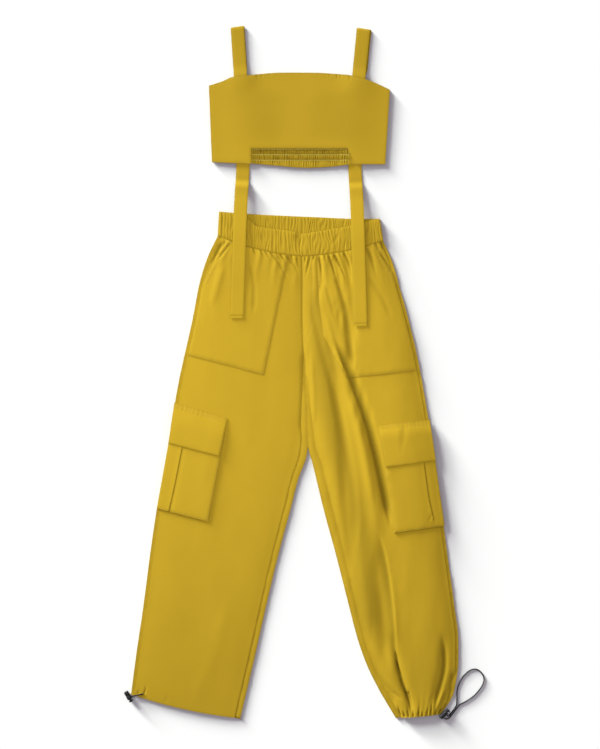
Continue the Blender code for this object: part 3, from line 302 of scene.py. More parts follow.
def smoothRun(points, step):  # a smooth curve through the points, in even steps
    points = np.asarray(points, float)
    if len(points) > 2:
        ends = [2 * points[0] - points[1]], [2 * points[-1] - points[-2]]
        p = np.concatenate((ends[0], points, ends[1]))
        t = np.linspace(0, 1, 8, endpoint=False)[:, None]
        fine = [
            0.5 * (2 * b + (c - a) * t + (2 * a - 5 * b + 4 * c - d) * t**2 + (3 * b - a - 3 * c + d) * t**3)
            for a, b, c, d in zip(p[:-3], p[1:-2], p[2:-1], p[3:])
        ]
        points = np.concatenate(fine + [points[-1:]])
    along = lengths(points)
    at = np.linspace(0, along[-1], max(1, round(along[-1] / step)) + 1)
    return np.stack([np.interp(at, along, axis) for axis in points.T], axis=1)


def throughSpots(line, step):
    return smoothRun([spot(*p) for p in line], step)


overAll = 90.0  # a height above every piece
closeBy = 0.5  # outline points nearer than this are one
chunk = 4000  # points compared at a time


class Solid:  # a CAD node read as a surface, in millimetres
    def __init__(self, name):
        self.name = name
        bm = bmesh.new()
        bm.from_mesh(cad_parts[name].data)
        bmesh.ops.remove_doubles(bm, verts=bm.verts, dist=1e-6)
        bmesh.ops.scale(bm, vec=(1000, 1000, 1000), verts=bm.verts)
        bm.normal_update()
        self.tree = BVHTree.FromBMesh(bm)
        self.outline = self.underEdge(bm)
        bm.free()

    def underEdge(self, bm):  # the longest loop round what faces down
        under = {f for f in bm.faces if f.normal.z < -0.25}
        rim = [e for e in bm.edges if sum(f in under for f in e.link_faces) == 1]
        beside = {}
        for e in rim:
            for v in e.verts:
                beside.setdefault(v, []).append(e)
        best, bestLength, left = [], 0, set(rim)
        while left:
            e = next(iter(sorted(left, key=lambda item: item.index)))
            v, loop = e.verts[0], []
            while e is not None:
                left.discard(e)
                loop.append((v.co.x, v.co.y))
                v = e.other_vert(v)
                e = next((n for n in beside[v] if n in left), None)
            length = sum(math.dist(a, b) for a, b in zip(loop, loop[1:]))
            if length > bestLength:
                best, bestLength = loop, length
        return np.array(best)

    def top(self, x, y):
        hit = self.tree.ray_cast(Vector((x, y, overAll)), Vector((0, 0, -1)))[0]
        return None if hit is None else hit.z


def cleanOutline(loop, step, corner):
    # the cut's own corners stay sharp, and the runs between them are smoothed and evenly stepped
    keep = [0]
    for i in range(1, len(loop)):
        if math.dist(loop[i], loop[keep[-1]]) > closeBy:
            keep.append(i)
    loop = loop[keep]
    if math.dist(loop[0], loop[-1]) < closeBy:
        loop = loop[:-1]
    before, after = loop - np.roll(loop, 1, axis=0), np.roll(loop, -1, axis=0) - loop
    turn = np.degrees(np.abs(
        (np.arctan2(after[:, 1], after[:, 0]) - np.arctan2(before[:, 1], before[:, 0]) + math.pi)
        % (2 * math.pi) - math.pi
    ))
    corners = [i for i in range(len(loop)) if turn[i] > corner] or [0]
    points = []
    for i, start in enumerate(corners):
        end = corners[(i + 1) % len(corners)]
        count = (end - start) % len(loop) or len(loop)
        run = loop[[(start + k) % len(loop) for k in range(count + 1)]]
        points.append(smoothRun(run, step)[:-1])
    return np.concatenate(points)


def inside(points, outline):
    x, y = points[:, 0][:, None], points[:, 1][:, None]
    ax, ay = outline[:, 0], outline[:, 1]
    bx, by = np.roll(ax, -1), np.roll(ay, -1)
    crosses = ((ay > y) != (by > y)) & (x < (bx - ax) * (y - ay) / np.where(by == ay, 1e-9, by - ay) + ax)
    return crosses.sum(axis=1) % 2 == 1


def nearest(points, run):  # each point's distance from a run, place along it, side, and the run's length
    start, step = run[:-1], np.diff(run, axis=0)
    length2 = np.maximum((step**2).sum(axis=1), 1e-9)
    before = np.concatenate(([0], np.cumsum(np.sqrt(length2))))
    away, along, right = (np.zeros(len(points)) for _ in range(3))
    for i in range(0, len(points), chunk):
        part = points[i:i + chunk]
        d = part[:, None, :] - start
        t = np.clip((d * step).sum(axis=2) / length2, 0, 1)
        gap = d - t[..., None] * step
        far = np.hypot(gap[..., 0], gap[..., 1])
        pick = np.argmin(far, axis=1)
        row = np.arange(len(part))
        away[i:i + chunk] = far[row, pick]
        along[i:i + chunk] = before[pick] + t[row, pick] * np.sqrt(length2[pick])
        side = gap[row, pick, 0] * -step[pick, 1] + gap[row, pick, 1] * step[pick, 0]
        right[i:i + chunk] = side > 0
    return away, along, right, before[-1]


def ease(x):
    x = np.clip(x, 0, 1)
    return x * x * (3 - 2 * x)


shortCrease = 75.0


def creaseShape(points, crease):
    # a soft trough or ridge: (spots along it, half width left, right, height, fade)
    line, left, right, height, fade = crease
    away, along, onRight, length = nearest(points, throughSpots(line, 5.0))
    tail = max(fade, 0.75 * length) if length < shortCrease else fade  # a short gather dies away
    ends = ease(along / fade + 0.1) * ease((length - along) / tail + 0.05)
    width = np.where(onRight, right, left) * (0.4 + 0.6 * ends)
    return height * ends * np.cos(np.clip(away / width, 0, 1) * math.pi / 2) ** 2


def wrinkles(points, size, seed):
    return np.array([noise.noise(Vector((x / size[0], y / size[1], seed))) for x, y in points])


def addPaintedShade(mesh, values):  # how much painted shade each point takes, in folds, grooves, rims and layers behind, for the cloth's colour
    mesh.attributes.new("paintedShade", "FLOAT", "POINT").data.foreach_set("value", np.array(values, np.float32))


def placed(mesh, finish, replaced=None, sharp=None):
    mesh.shade_smooth()
    if sharp:
        mesh.set_sharp_from_angle(angle=math.radians(sharp))
    mesh.materials.append(finish)
    obj = bpy.data.objects.new(mesh.name, mesh)
    bpy.context.scene.collection.objects.link(obj)
    if replaced:
        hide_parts(replaced)
    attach(obj, setBody)
    return obj


def newMesh(name, points, faces):
    mesh = bpy.data.meshes.new(name)
    mesh.from_pydata([tuple(p) for p in points], [], faces)
    mesh.validate()
    return mesh


def tubeFaces(rings, sides):
    last = (rings - 1) * sides
    walls = [
        (i + k, i + (k + 1) % sides, i + sides + (k + 1) % sides, i + sides + k)
        for i in range(0, last, sides) for k in range(sides)
    ]
    return walls + [tuple(range(sides))[::-1], tuple(range(last, last + sides))]


def faceOutwards(mesh):
    bm = bmesh.new()
    bm.from_mesh(mesh)
    bmesh.ops.recalc_face_normals(bm, faces=bm.faces)
    bm.to_mesh(mesh)
    bm.free()


cloth = {  # what every panel shares
    # painted shade: how much creases and pressed lines darken the cloth
    "corner": 24, "edgeStep": 2.0, "joinReach": 2.0, "edgeGap": 0.45, "settle": 0.6, "creaseShade": 0.22,
    "pressedStep": 1.6, "pressedHalf": 0.7, "pressedShade": 0.55, "besidePressed": (-1.2, -0.35, 0.35, 1.2),
    "pressedGap": 2.0, "besideGap": 0.7, "rimReach": 1.7, "lowest": 0.05, "thinnest": 0.5, "sharp": 55,
}
stitchedRow = {  # how cloth ripples beside a row of stitching, in waves of uneven length and height
    # dark: painted shade in the stitching's groove
    "pitch": 6.5, "reach": 4.5, "sway": 2.5, "swayLong": 23.0, "swellLong": 17.0, "dark": 0.18,
}


class Panel:  # one piece of cloth, laid on the form of its CAD node
    def __init__(self, name, solid, look):
        self.name, self.solid, self.look = name, solid, look
        step = look["step"]
        edgeStep = min(step) if look.get("fineEdge") else max(cloth["edgeStep"], min(step))
        self.edge = cleanOutline(solid.outline, edgeStep, cloth["corner"])
        for line, shift in look.get("meets", ()):
            near = nearest(self.edge, np.array([spot(*p) for p in line]))[0] < cloth["joinReach"]
            self.edge[near, 0] += shift
        self.makePlan(step)
        self.makeHeight()

    def makePlan(self, step):
        lo, hi = self.edge.min(axis=0), self.edge.max(axis=0)
        grids = [(step, lo, hi)]
        for fine, corner, opposite in self.look.get("finer", ()):
            box = np.sort(np.array([spot(*corner), spot(*opposite)]), axis=0)
            grids.append((fine, box[0], box[1]))
        points = np.zeros((0, 2))
        for (dx, dy), low, high in grids:
            fresh = np.array([
                (x, y) for r, y in enumerate(np.arange(low[1], high[1], dy))
                for x in np.arange(low[0] + (r % 2) * dx / 2, high[0], dx)
            ])
            if len(points):
                within = ((points > low - step[0] * 0.3) & (points < high + step[0] * 0.3)).all(axis=1)
                points = points[~within]
            points = np.concatenate((points, fresh))
        points = points[inside(points, self.edge)]
        closed = np.concatenate((self.edge, self.edge[:1]))
        away = nearest(points, closed)[0]
        points = points[away > cloth["edgeGap"] * min(step)]
        for line, *_ in self.look.get("pressed", ()):
            points = self.alongLine(points, throughSpots(line, cloth["pressedStep"]), closed)
        count = len(self.edge)
        every = [Vector(p) for p in np.concatenate((self.edge, points))]
        rim = [(i, (i + 1) % count) for i in range(count)]
        verts, _, faces, *_ = delaunay_2d_cdt(every, rim, [], 1, 1e-7)
        self.plan = np.array([(v.x, v.y) for v in verts])
        self.faces = [list(f) for f in faces]
        self.away = nearest(self.plan, closed)[0]

    def alongLine(self, points, run, closed):  # close rows of points beside a pressed line
        beside = np.concatenate([run + leftOf(run) * away for away in cloth["besidePressed"]])
        beside = beside[inside(beside, self.edge)]
        beside = beside[nearest(beside, closed)[0] > cloth["besideGap"]]
        return np.concatenate((points[nearest(points, run)[0] > cloth["pressedGap"]], beside))

    def makeHeight(self):
        look = self.look
        z = np.zeros(len(self.plan))
        for i, (x, y) in enumerate(self.plan):
            top = self.solid.top(x, y)
            if top is None:
                near = self.solid.tree.find_nearest(Vector((x, y, 4.0)))[0]
                pull = Vector((near.x - x, near.y - y))
                pull = pull.normalized() * 0.4 if pull.length > 1e-6 else pull
                top = self.solid.top(near.x + pull.x, near.y + pull.y)
                top = near.z if top is None else top
            z[i] = top
        tri = np.array([(f[0], f[i], f[i + 1]) for f in self.faces for i in range(1, len(f) - 1)])
        links = np.concatenate((tri[:, [0, 1]], tri[:, [1, 2]], tri[:, [2, 0]]))
        start, end = np.concatenate((links, links[:, ::-1])).T
        degree = np.bincount(start, minlength=len(z))
        settle = cloth["settle"]
        for _ in range(look["smooth"]):
            mean = np.bincount(start, weights=z[end], minlength=len(z)) / degree
            z = z * (1 - settle) + mean * settle
        self.tri = tri
        self.paintedShade = np.zeros(len(z))
        for crease in look.get("creases", ()):
            rise = creaseShape(self.plan, crease)
            z += rise
            # painted shade in the troughs of creases
            self.paintShade(-rise * cloth["creaseShade"])
        # listed bands of painted shade
        for line, half, deep, fade in look.get("shade", ()):
            self.paintShade(creaseShape(self.plan, (line, half, half, deep, fade)))
        for line, high, low, reach in look.get("pressed", ()):
            away, _, onRight, _ = nearest(self.plan, throughSpots(line, cloth["pressedStep"]))
            z += np.where(onRight, -low, high) * (1 - ease(away / reach))
            # painted shade along a pressed line
            self.paintShade(cloth["pressedShade"] * np.exp(-(away / cloth["pressedHalf"]) ** 2))
        for size, height in look.get("wrinkles", ()):
            calm = ease(self.away / 10.0)
            z += height * wrinkles(self.plan, size, len(self.name) * 1.7 + size[0]) * (0.35 + 0.65 * calm)
        self.z = z

    def bend(self, change):
        self.z = self.z + change

    # painted shade: each point keeps the deepest amount it is given
    def paintShade(self, paintedShade):
        self.paintedShade = np.maximum(self.paintedShade, paintedShade)

    def seam(self, run, depth, half, pucker):
        # cloth drawn down along a row of stitching, rippled a little beside it, with painted shade in the
        # groove
        row = stitchedRow
        away, along, _, _ = nearest(self.plan, run)
        groove = np.exp(-(away / half) ** 2)
        wave = along * 2 * math.pi / row["pitch"] + row["sway"] * np.sin(along / row["swayLong"])
        ripple = np.sin(wave) * np.exp(-(away / row["reach"]) ** 2)
        self.z = self.z - depth * groove + pucker * ripple * (0.5 + 0.5 * np.sin(along / row["swellLong"]))
        self.paintShade(row["dark"] * groove)

    def edgeRun(self, start, end, inset):
        # the run of the outline between two spots, the shorter way round, moved in
        a = int(np.argmin(np.hypot(*(self.edge - np.array(spot(*start))).T)))
        b = int(np.argmin(np.hypot(*(self.edge - np.array(spot(*end))).T)))
        n = len(self.edge)
        ahead = (b - a) % n
        turn = 1 if ahead <= n - ahead else -1
        run = self.edge[[(a + turn * k) % n for k in range(min(ahead, n - ahead) + 1)]]
        if len(run) < 3:
            return run
        side = leftOf(run)
        mid = len(run) // 2
        probe = run[mid:mid + 1] + side[mid:mid + 1] * 2.0
        if not inside(probe, self.edge)[0]:
            side = -side
        return smoothRun((run + side * inset)[::3], 2.0)

    def finish(self, finish, thick=1.15, drop=0.3, reach=1.3, rim=0.22):
        z = self.z - drop * (1 - np.clip(self.away / reach, 0, 1)) ** 2
        # painted shade along the cut edges, which dims the rims that face the key light
        self.paintShade(rim * (1 - np.clip(self.away / cloth["rimReach"], 0, 1)))
        lowest = cloth["lowest"]
        low = np.full(len(z), lowest) if self.look.get("flatUnder") else np.maximum(z - thick, lowest)
        z = np.maximum(z, low + cloth["thinnest"])
        count = len(z)
        first, second, third = (self.plan[self.tri[:, k]] for k in range(3))
        turnedOver = np.cross(second - first, third - first).sum() < 0
        tops = [f[::-1] for f in self.faces] if turnedOver else self.faces
        edges = {(a, b) for f in tops for a, b in zip(f, f[1:] + f[:1])}
        faces = tops + [[i + count for i in f[::-1]] for f in tops]
        faces += [[b, a, a + count, b + count] for a, b in sorted(edges) if (b, a) not in edges]
        points = np.concatenate([np.column_stack((self.plan, side)) for side in (z, low)]) * mm
        mesh = newMesh(self.name, points, faces)
        addPaintedShade(mesh, np.clip(np.concatenate((self.paintedShade, self.paintedShade)), 0, 0.9))
        self.obj = placed(mesh, finish, self.solid.name, cloth["sharp"])
        self.height = kdtree.KDTree(count)
        for i, (x, y) in enumerate(self.plan):
            self.height.insert((x, y, 0), i)
        self.height.balance()
        self.topZ = z

    def heightAt(self, x, y):
        near = self.height.find_n((x, y, 0), 3)
        weight = [1 / (d + 0.2) for _, _, d in near]
        return sum(self.topZ[i] * w for (_, i, _), w in zip(near, weight)) / sum(weight)


allStitches = []  # (panel, run, kind) rows of stitching, made once all cloth lies in place


def sewn(panel, run, **shape):
    panel.seam(run, **shape)
    allStitches.append((panel, run, "sewing"))


stitchSize = {
    "sewing": {"length": 2.3, "gap": 0.7, "half": 0.22, "high": 0.16},
    "elastic": {"length": 1.5, "gap": 0.35, "half": 0.45, "high": 0.45},
}


def makeStitches(kind, finish):
    verts, faces = [], []
    size = stitchSize[kind]
    pitch = size["length"] + size["gap"]
    for panel, run, rowKind in allStitches:
        if rowKind != kind:
            continue
        path = smoothRun(run, pitch)
        for a, b in zip(path, path[1:]):
            way = b - a
            length = np.linalg.norm(way)
            if length < 0.5:
                continue
            way /= length
            side = np.array((-way[1], way[0])) * size["half"]
            b = a + way * size["length"] * min(length / pitch, 1)
            base = len(verts)
            for share, high in ((0, -0.12), (0.25, 1.0), (0.75, 1.0), (1, -0.12)):
                p = a + (b - a) * share
                z = panel.heightAt(*p)
                for q in (p - side, p + side):
                    verts.append((q[0] * mm, q[1] * mm, (z - 0.15) * mm))
                verts.append((p[0] * mm, p[1] * mm, (z + size["high"] * high + 0.05) * mm))
            for k in range(3):
                i = base + 3 * k
                faces += [(i, i + 3, i + 5, i + 2), (i + 2, i + 5, i + 4, i + 1), (i + 1, i + 4, i + 3, i)]
            faces += [(base, base + 2, base + 1), (base + 9, base + 10, base + 11)]
    mesh = newMesh(kind + "Stitches", verts, faces)
    faceOutwards(mesh)
    placed(mesh, finish)


rightCord = {
    "diameter": 1.9, "sides": 12, "step": 1.2,
    "route": (
        (240, -531, 3.6), (241.2, -532.1, 3.4), (242.6, -532.2, 2.6), (244.3, -531, 1.6),
        (245.7, -529.2, 1.1), (248.5, -525.5, 1), (252, -521, 1), (254.2, -517.5, 1),
        (255.2, -513.5, 1), (255.5, -508, 1), (255.5, -500, 1), (256, -493, 1),
        (258.5, -484, 1), (264, -473, 1), (273, -464, 1), (282, -460, 1),
        (289.5, -462, 1), (295, -468, 1), (297.5, -476, 1), (295, -485, 1),
        (289, -494, 1), (282, -501.5, 1), (273, -508, 1), (265, -512.5, 1),
        (260, -515, 1), (257, -518.5, 1), (254, -522.5, 1), (250, -527.7, 1),
        (246.4, -532.3, 1.1), (244.2, -534.9, 1.6), (241.5, -536.6, 2.3), (238.6, -536.9, 3.1),
        (236.8, -536.2, 3.6), (235.7, -535.2, 3.6),
    ),
}
leftCord = {
    "diameter": 1.9, "sides": 12, "step": 0.8,
    "route": (
        (-248.5, -502.3, 3.7), (-246.7, -501.6, 4.3), (-244.5, -501, 4.6), (-241, -500.2, 4.7),
        (-237.5, -499.3, 4.7), (-233.5, -498.4, 4.7), (-230, -498, 4.7),
    ),
}


def makeTube(name, cord, replaced):
    run = smoothRun(cord["route"], cord["step"])
    radius, sides = cord["diameter"] / 2, cord["sides"]
    way = unit(np.gradient(run, axis=0))
    flat = unit(np.cross(way, (0, 0, 1.0)))
    up = np.cross(flat, way)
    verts = []
    along = lengths(run)
    for i, p in enumerate(run):
        for k in range(sides):
            a = 2 * math.pi * k / sides
            verts.append((p + radius * (flat[i] * math.cos(a) + up[i] * math.sin(a))) * mm)
    facet = 2 * math.pi * radius / sides
    marks = [
        ((k + right) * facet, along[i + on]) for i in range(len(run) - 1) for k in range(sides)
        for right, on in ((0, 0), (1, 0), (1, 1), (0, 1))
    ] + [(0, 0)] * (2 * sides)
    mesh = newMesh(name, verts, tubeFaces(len(run), sides))
    uv = mesh.uv_layers.new(name="braid")
    for i, mark in enumerate(marks):
        uv.data[i].uv = mark
    faceOutwards(mesh)
    return placed(mesh, braidFinish, replaced, sharp=60), run * mm, along[-1] * mm


cordRight, cordPath, cordLength = makeTube("hemCordRight", rightCord, "hem_cord_right")
makeTube("hemCordLeft", leftCord, "hem_cord_left")
print("hem cords, right one", round(cordLength * 1000), "mm")


lockShape = {
    "sides": 32,
    "barrel": (
        (0, 2.7), (0.35, 3.2), (0.9, 3.6), (5.9, 3.6), (6.3, 3.1), (7.5, 3.1), (7.9, 3.6),
        (12.9, 3.6), (13.5, 3.1), (13.5, 2.1), (5, 2.1),
    ),
    "plunger": ((7, 1.9), (15.5, 1.9), (15.5, 2.6), (15.9, 3), (17.2, 3), (17.8, 2.5), (18, 1.6)),
    "left": {"base": spot(126, 691.2), "way": (0.483, -0.876)},
    "right": {"base": spot(440.2, 717.4), "way": (0.712, 0.702)},
    "lift": 3.6, "soften": 0.12, "sharp": 35,
}


def turnedPiece(name, profile, side, replaced, body):
    place = lockShape[side]
    bpy.ops.object.select_all(action="DESELECT")
    first = profile[0]
    bpy.ops.mesh.primitive_circle_add(
        vertices=lockShape["sides"], radius=first[1] * mm, fill_type="NGON", location=(0, 0, first[0] * mm)
    )
    obj = bpy.context.object
    obj.name = name
    bpy.ops.object.mode_set(mode="EDIT")
    bpy.ops.mesh.select_all(action="SELECT")
    along, radius = first
    for nextAlong, nextRadius in profile[1:]:
        bpy.ops.mesh.extrude_region_move(TRANSFORM_OT_translate={"value": (0, 0, (nextAlong - along) * mm)})
        scale = nextRadius / radius
        bpy.ops.transform.resize(
            value=(scale, scale, 1), center_override=(0, 0, nextAlong * mm), orient_type="GLOBAL"
        )
        along, radius = nextAlong, nextRadius
    bpy.ops.mesh.select_all(action="SELECT")
    bpy.ops.mesh.normals_make_consistent(inside=False)
    bpy.ops.object.mode_set(mode="OBJECT")
    bevel = obj.modifiers.new("soften", "BEVEL")
    bevel.width = lockShape["soften"] * mm
    bevel.segments = 2
    bevel.limit_method = "ANGLE"
    bpy.ops.object.modifier_apply(modifier="soften")
    way = Vector((*place["way"], 0)).normalized()
    up = Vector((0, 0, 1))
    turn = Matrix((up.cross(way), up, way)).transposed()
    at = Vector((*place["base"], lockShape["lift"])) * mm
    obj.matrix_world = Matrix.Translation(at) @ turn.to_4x4() @ Matrix.Translation((0, 0, first[0] * mm))
    bpy.ops.object.transform_apply(location=True, rotation=True, scale=True)
    bpy.ops.object.shade_smooth_by_angle(angle=math.radians(lockShape["sharp"]))
    obj.data.materials.append(lockFinish)
    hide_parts(replaced)
    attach(obj, body)


for side in ("left", "right"):
    turnedPiece("lockBarrel_" + side, lockShape["barrel"], side, "lock_barrel_" + side, setBody)
    turnedPiece("lockPlunger_" + side, lockShape["plunger"], side, "lock_plunger_" + side, "plunger_" + side)
print("cord locks")


def gathers(*rows):  # straight short creases: from, to, half width, height, fade at each end
    return tuple((((a, b), (c, d)), half, half, height, fade) for a, b, c, d, half, height, fade in rows)


# creases: (spots along it, half width left, half width right, height, fade at each end)
waistLeft = (
    (((222.5, 242), (215, 257), (208, 273)), 4, 4, -2, 8),
    (((231, 243), (220, 257), (212, 267)), 3, 3, -1.6, 6),
    (((250, 262), (254, 290), (253, 316)), 5, 6, -0.8, 20),
    (((269.5, 250), (280, 265), (290, 283)), 3.8, 3.8, -1.8, 6),
    (((285, 254), (294, 265), (300, 277)), 3.2, 3.2, -1.8, 5),
) + gathers(
    (226, 241, 221, 250, 2.2, -1.4, 4), (236, 243, 233, 251, 2.2, -1.3, 4),
    (242, 245, 243, 254, 2.2, -1.2, 3), (253, 247, 256.5, 258, 2.4, -1.8, 4),
    (259.5, 248, 265, 259, 2.4, -2, 4), (264, 249, 272, 262, 2.4, -1.9, 5),
    (275, 252, 283, 264, 2.4, -1.8, 4), (279.5, 253, 289, 267, 2.4, -1.9, 5),
    (290.5, 255, 295, 266, 2.2, -1.8, 4), (296.5, 256, 299, 268, 2.2, -1.8, 4),
)
waistRight = (
    (((310, 256), (307.5, 268), (305, 280)), 2.6, 2.6, -1.8, 5),
    (((318.5, 255), (321, 268), (321.5, 284)), 3, 3, -2.2, 8),
    (((328, 254), (333, 268), (337, 282)), 3, 3, -2.3, 6),
    (((333, 253), (341, 268), (347, 283)), 3, 3, -2.5, 6),
    (((343, 251), (349, 264), (352, 280)), 3, 3, -2.2, 6),
    (((364, 244), (371, 259), (377, 281)), 4, 5, -1.9, 10),
) + gathers(
    (305.5, 256, 304.5, 266, 2, -1.6, 4), (314.5, 255, 312, 264, 2.2, -1.7, 4),
    (324, 254, 326, 263, 2.2, -1.7, 4), (338.5, 252, 343, 261, 2.2, -1.7, 4),
    (347, 250, 350, 257, 2, -1.6, 3), (369, 243, 374, 252, 2.2, -1.5, 4),
    (374.5, 242, 381, 253, 2.2, -1.7, 4), (379.5, 241, 388, 257, 2.4, -1.7, 5),
)
hangRight = (  # the long folds that fall from the right of the waist
    (((321, 280), (318.5, 298), (320, 318)), 4, 5, -0.9, 14),
    (((335, 276), (341, 295), (347.5, 314)), 4, 5, -1.3, 12),
    (((325, 284), (331, 305), (336, 326)), 4, 5, -0.9, 14),
    (((341, 290), (346, 315), (349.5, 342), (353, 376)), 8, 8, -2.4, 34),
    (((311, 300), (318, 332), (325, 360), (332, 392)), 9, 8, -1.2, 34),
    (((325, 312), (334, 346), (345, 380)), 7, 7, 1, 30),
    (((333, 338), (343, 362), (353, 388), (364.5, 420), (375, 460), (383.5, 500), (390.5, 530)),
     3.4, 15, -3.4, 44),
    (((329, 366), (336, 400), (343, 430), (350, 462), (354.5, 500), (356, 552)), 11, 9, -1.6, 50),
    (((345, 385), (358, 425), (367, 465), (374, 510)), 10, 8, 1, 50),
    (((378, 532), (384, 555), (388.5, 580), (392, 610), (394.3, 640), (395.5, 662)), 22, 3.4, -2.2, 46),
    (((361, 560), (365, 600), (370, 640)), 12, 12, 0.8, 50),
    (((394.6, 644), (397, 662), (402, 682), (408, 698), (411.5, 712)), 3.4, 2.8, -4.2, 34),
    (((407.5, 690), (411, 700), (412, 708)), 4, 2.6, -2, 5),
    (((441, 634), (443.5, 652), (443.5, 670), (436.5, 698), (433.5, 713)), 4.5, 6.5, -2.6, 36),
    (((453, 670), (450, 692), (445.5, 707)), 3.2, 3.6, -2.2, 12),
    (((366, 660), (376, 674), (387, 685), (404, 700)), 5, 3, -1.2, 14),
    (((384, 690), (392, 704), (401, 716)), 3.6, 3, -2.6, 7),
    (((404, 300), (408, 320), (411, 345)), 12, 8, -0.5, 26),
    (((379, 252), (387, 263), (397.5, 279)), 2.2, 2.4, -1.3, 6),
    (((366, 275), (382, 299), (392, 322)), 6, 7, -0.6, 20),
)
crotch = (
    (((304, 345), (304.5, 390), (302, 440)), 9, 4, -2, 30),
    (((301.9, 255), (302.2, 285), (302.3, 318), (303.5, 353)), 2.2, 2, -0.7, 8),
    (((311, 352), (313, 385), (314, 430)), 6, 6, 0.8, 30),
)
hemRight = tuple(
    (((x, 717), (x + lean, 717 - rise)), 2.1, 2.1, depth, 3)
    for x, lean, rise, depth in (
        (397.5, -3, 9, -2.2), (401, -4, 15, -2), (405, -3, 9, -2.2), (408.5, -2, 13, -2),
        (413.5, -1, 9, -2.2), (418, 1, 13, -2.4), (422, 0, 8, -2), (426, 2, 13, -2),
        (430, 2, 18, -2.6), (434.5, 2, 10, -2), (438, 4, 12, -1.8),
    )
)
fly = ((311.5, 256), (312.5, 290), (312.5, 312), (310.5, 328), (304.6, 341))
calmLeft = (
    (((262, 300), (262, 390), (250, 470)), 24, 26, -0.25, 80),
    (((225, 262), (217, 285), (211, 310)), 9, 9, 0.7, 24),
    (((144, 695), (147, 684)), 2.4, 2.4, -1, 4), (((138, 695), (139.5, 688)), 2, 2, -0.8, 3),
    (((166, 702), (168, 692)), 3, 3, -0.5, 5),
)
# painted shade: (spots along it, half width, how deep, fade)
shadeRight = (
    (((318, 270), (322, 330), (328, 400), (345, 470), (360, 530), (368, 600), (374, 650)), 34, 0.44, 60),
    (((300, 430), (318, 500), (336, 570)), 26, 0.20, 60),
)
centreSeam = (
    (301.8, 256), (302.2, 285), (302.2, 318), (303.4, 353), (304.8, 385), (306.7, 418), (308.4, 447),
)
easyCloth = ((40, 110), 0.28), ((14, 40), 0.06)
fullCloth = ((24, 80), 0.45), ((10, 30), 0.12)
legBack = {
    side: {"step": (4, 6), "flatUnder": True, "smooth": 2, "wrinkles": (wrinkle,),
           "meets": ((centreSeam, shift),)}
    for side, wrinkle, shift in (("left", ((30, 60), 0.25), 0.35), ("right", ((24, 50), 0.3), -0.35))
}
legFront = {
    "left": {
        "step": (2.6, 4.2), "smooth": 7,
        "finer": (((1.5, 2.2), (212, 240), (304, 284)), ((1.2, 1.2), (138, 688), (150, 699))),
        "shade": ((((142.6, 693.7), (145.6, 692.9)), 1.9, 0.75, 2),),
        "wrinkles": easyCloth,
        "creases": waistLeft + calmLeft + crotch[:2],
        "meets": ((centreSeam, 0.35),),
    },
    "right": {
        "step": (2.4, 4), "smooth": 5,
        "finer": (((1.5, 2.2), (300, 245), (392, 288)), ((1.4, 2), (388, 692), (446, 722))),
        "wrinkles": fullCloth,
        "creases": waistRight + hangRight + crotch + hemRight,
        "meets": ((centreSeam, -0.35),),
        "rows": (((302.6, 262), (303.9, 349), 1.5),),
        "seams": (fly,),
        "shade": shadeRight,
    },
}
hipPatch = {
    "both": {"step": (2.2, 3.2), "smooth": 4},
    "left": {"wrinkles": easyCloth,
             "creases": waistLeft + calmLeft, "finer": (((1.5, 2.2), (205, 240), (292, 282)),),
             "rows": (((232.5, 243), (203.8, 281.6), 1.4, 6.4),
                      ((287.4, 254), (263.8, 374.4), 1.6), ((263.6, 374.4), (192, 356.2), 1.6))},
    "right": {"wrinkles": fullCloth,
              "creases": waistRight + hangRight, "finer": (((1.5, 2.2), (314, 240), (399, 284)),),
              "rows": (((373.8, 243), (396.2, 280.6), 1.4, 6.4),
                       ((316.9, 256), (324, 337), 1.6), ((354, 377.2), (420.5, 370.4), 1.6))},
}
# pressed folds: (spots along it, how high the cloth on its left, how low on its right, reach)
cargoPocket = {
    "both": {"step": (2, 2.6), "smooth": 10, "wrinkles": (((30, 50), 0.25),)},
    "left": {
        "pressed": ((((184.6, 441), (182.3, 447.7), (175.5, 482), (168.6, 513.5)), 0.45, 0.45, 8),),
        "rows": (((224.5, 440), (208.1, 521), 1.5), ((208.1, 521.4), (157.4, 508.4), 1.5)),
    },
    "right": {
        "pressed": (
            (((422.6, 455), (424, 464.8), (428.3, 496.3), (432.1, 513.6), (433, 519)), 0.45, 0.45, 8),
        ),
        "creases": ((((432.5, 513), (429.5, 518), (427.5, 524)), 2.2, 2.2, -0.8, 4),),
        "shade": ((((388, 448), (395, 530)), 30, 0.08, 20),),
        "rows": (((380.4, 442), (393.8, 531.8), 1.5), ((393.8, 532.2), (444, 525.8), 1.5)),
    },
}
cargoFlap = {
    "both": {"step": (2, 2.4), "smooth": 12, "wrinkles": (((26, 26), 0.2),)},
    "left": {"rows": (((174.8, 402.8), (227, 418), 1.4, 6.2),)},
    "right": {"rows": (((429.3, 419.8), (377.8, 424.7), 1.4, 6.2),),
              "creases": ((((403.4, 424), (402.5, 438), (400, 456)), 9, 8, -0.55, 14),)},
}
panels = {}


def lookOf(looks, which):  # what both share, and its own
    return {**looks.get("both", {}), **looks[which]}


def makePanel(name, nodeName, look, finish, before=None, **wall):
    panel = Panel(name, Solid(nodeName), look)
    if before:
        before(panel)
    for start, end, *insets in look.get("rows", ()):  # along the edge, this far in from it
        for inset in insets:
            sewn(panel, panel.edgeRun(start, end, inset), depth=0.25, half=0.9, pucker=0.10)
    for line in look.get("seams", ()):
        sewn(panel, throughSpots(line, 2.0), depth=0.3, half=1.0, pucker=0.12)
    panel.finish(finish, **wall)
    panels[nodeName] = panel


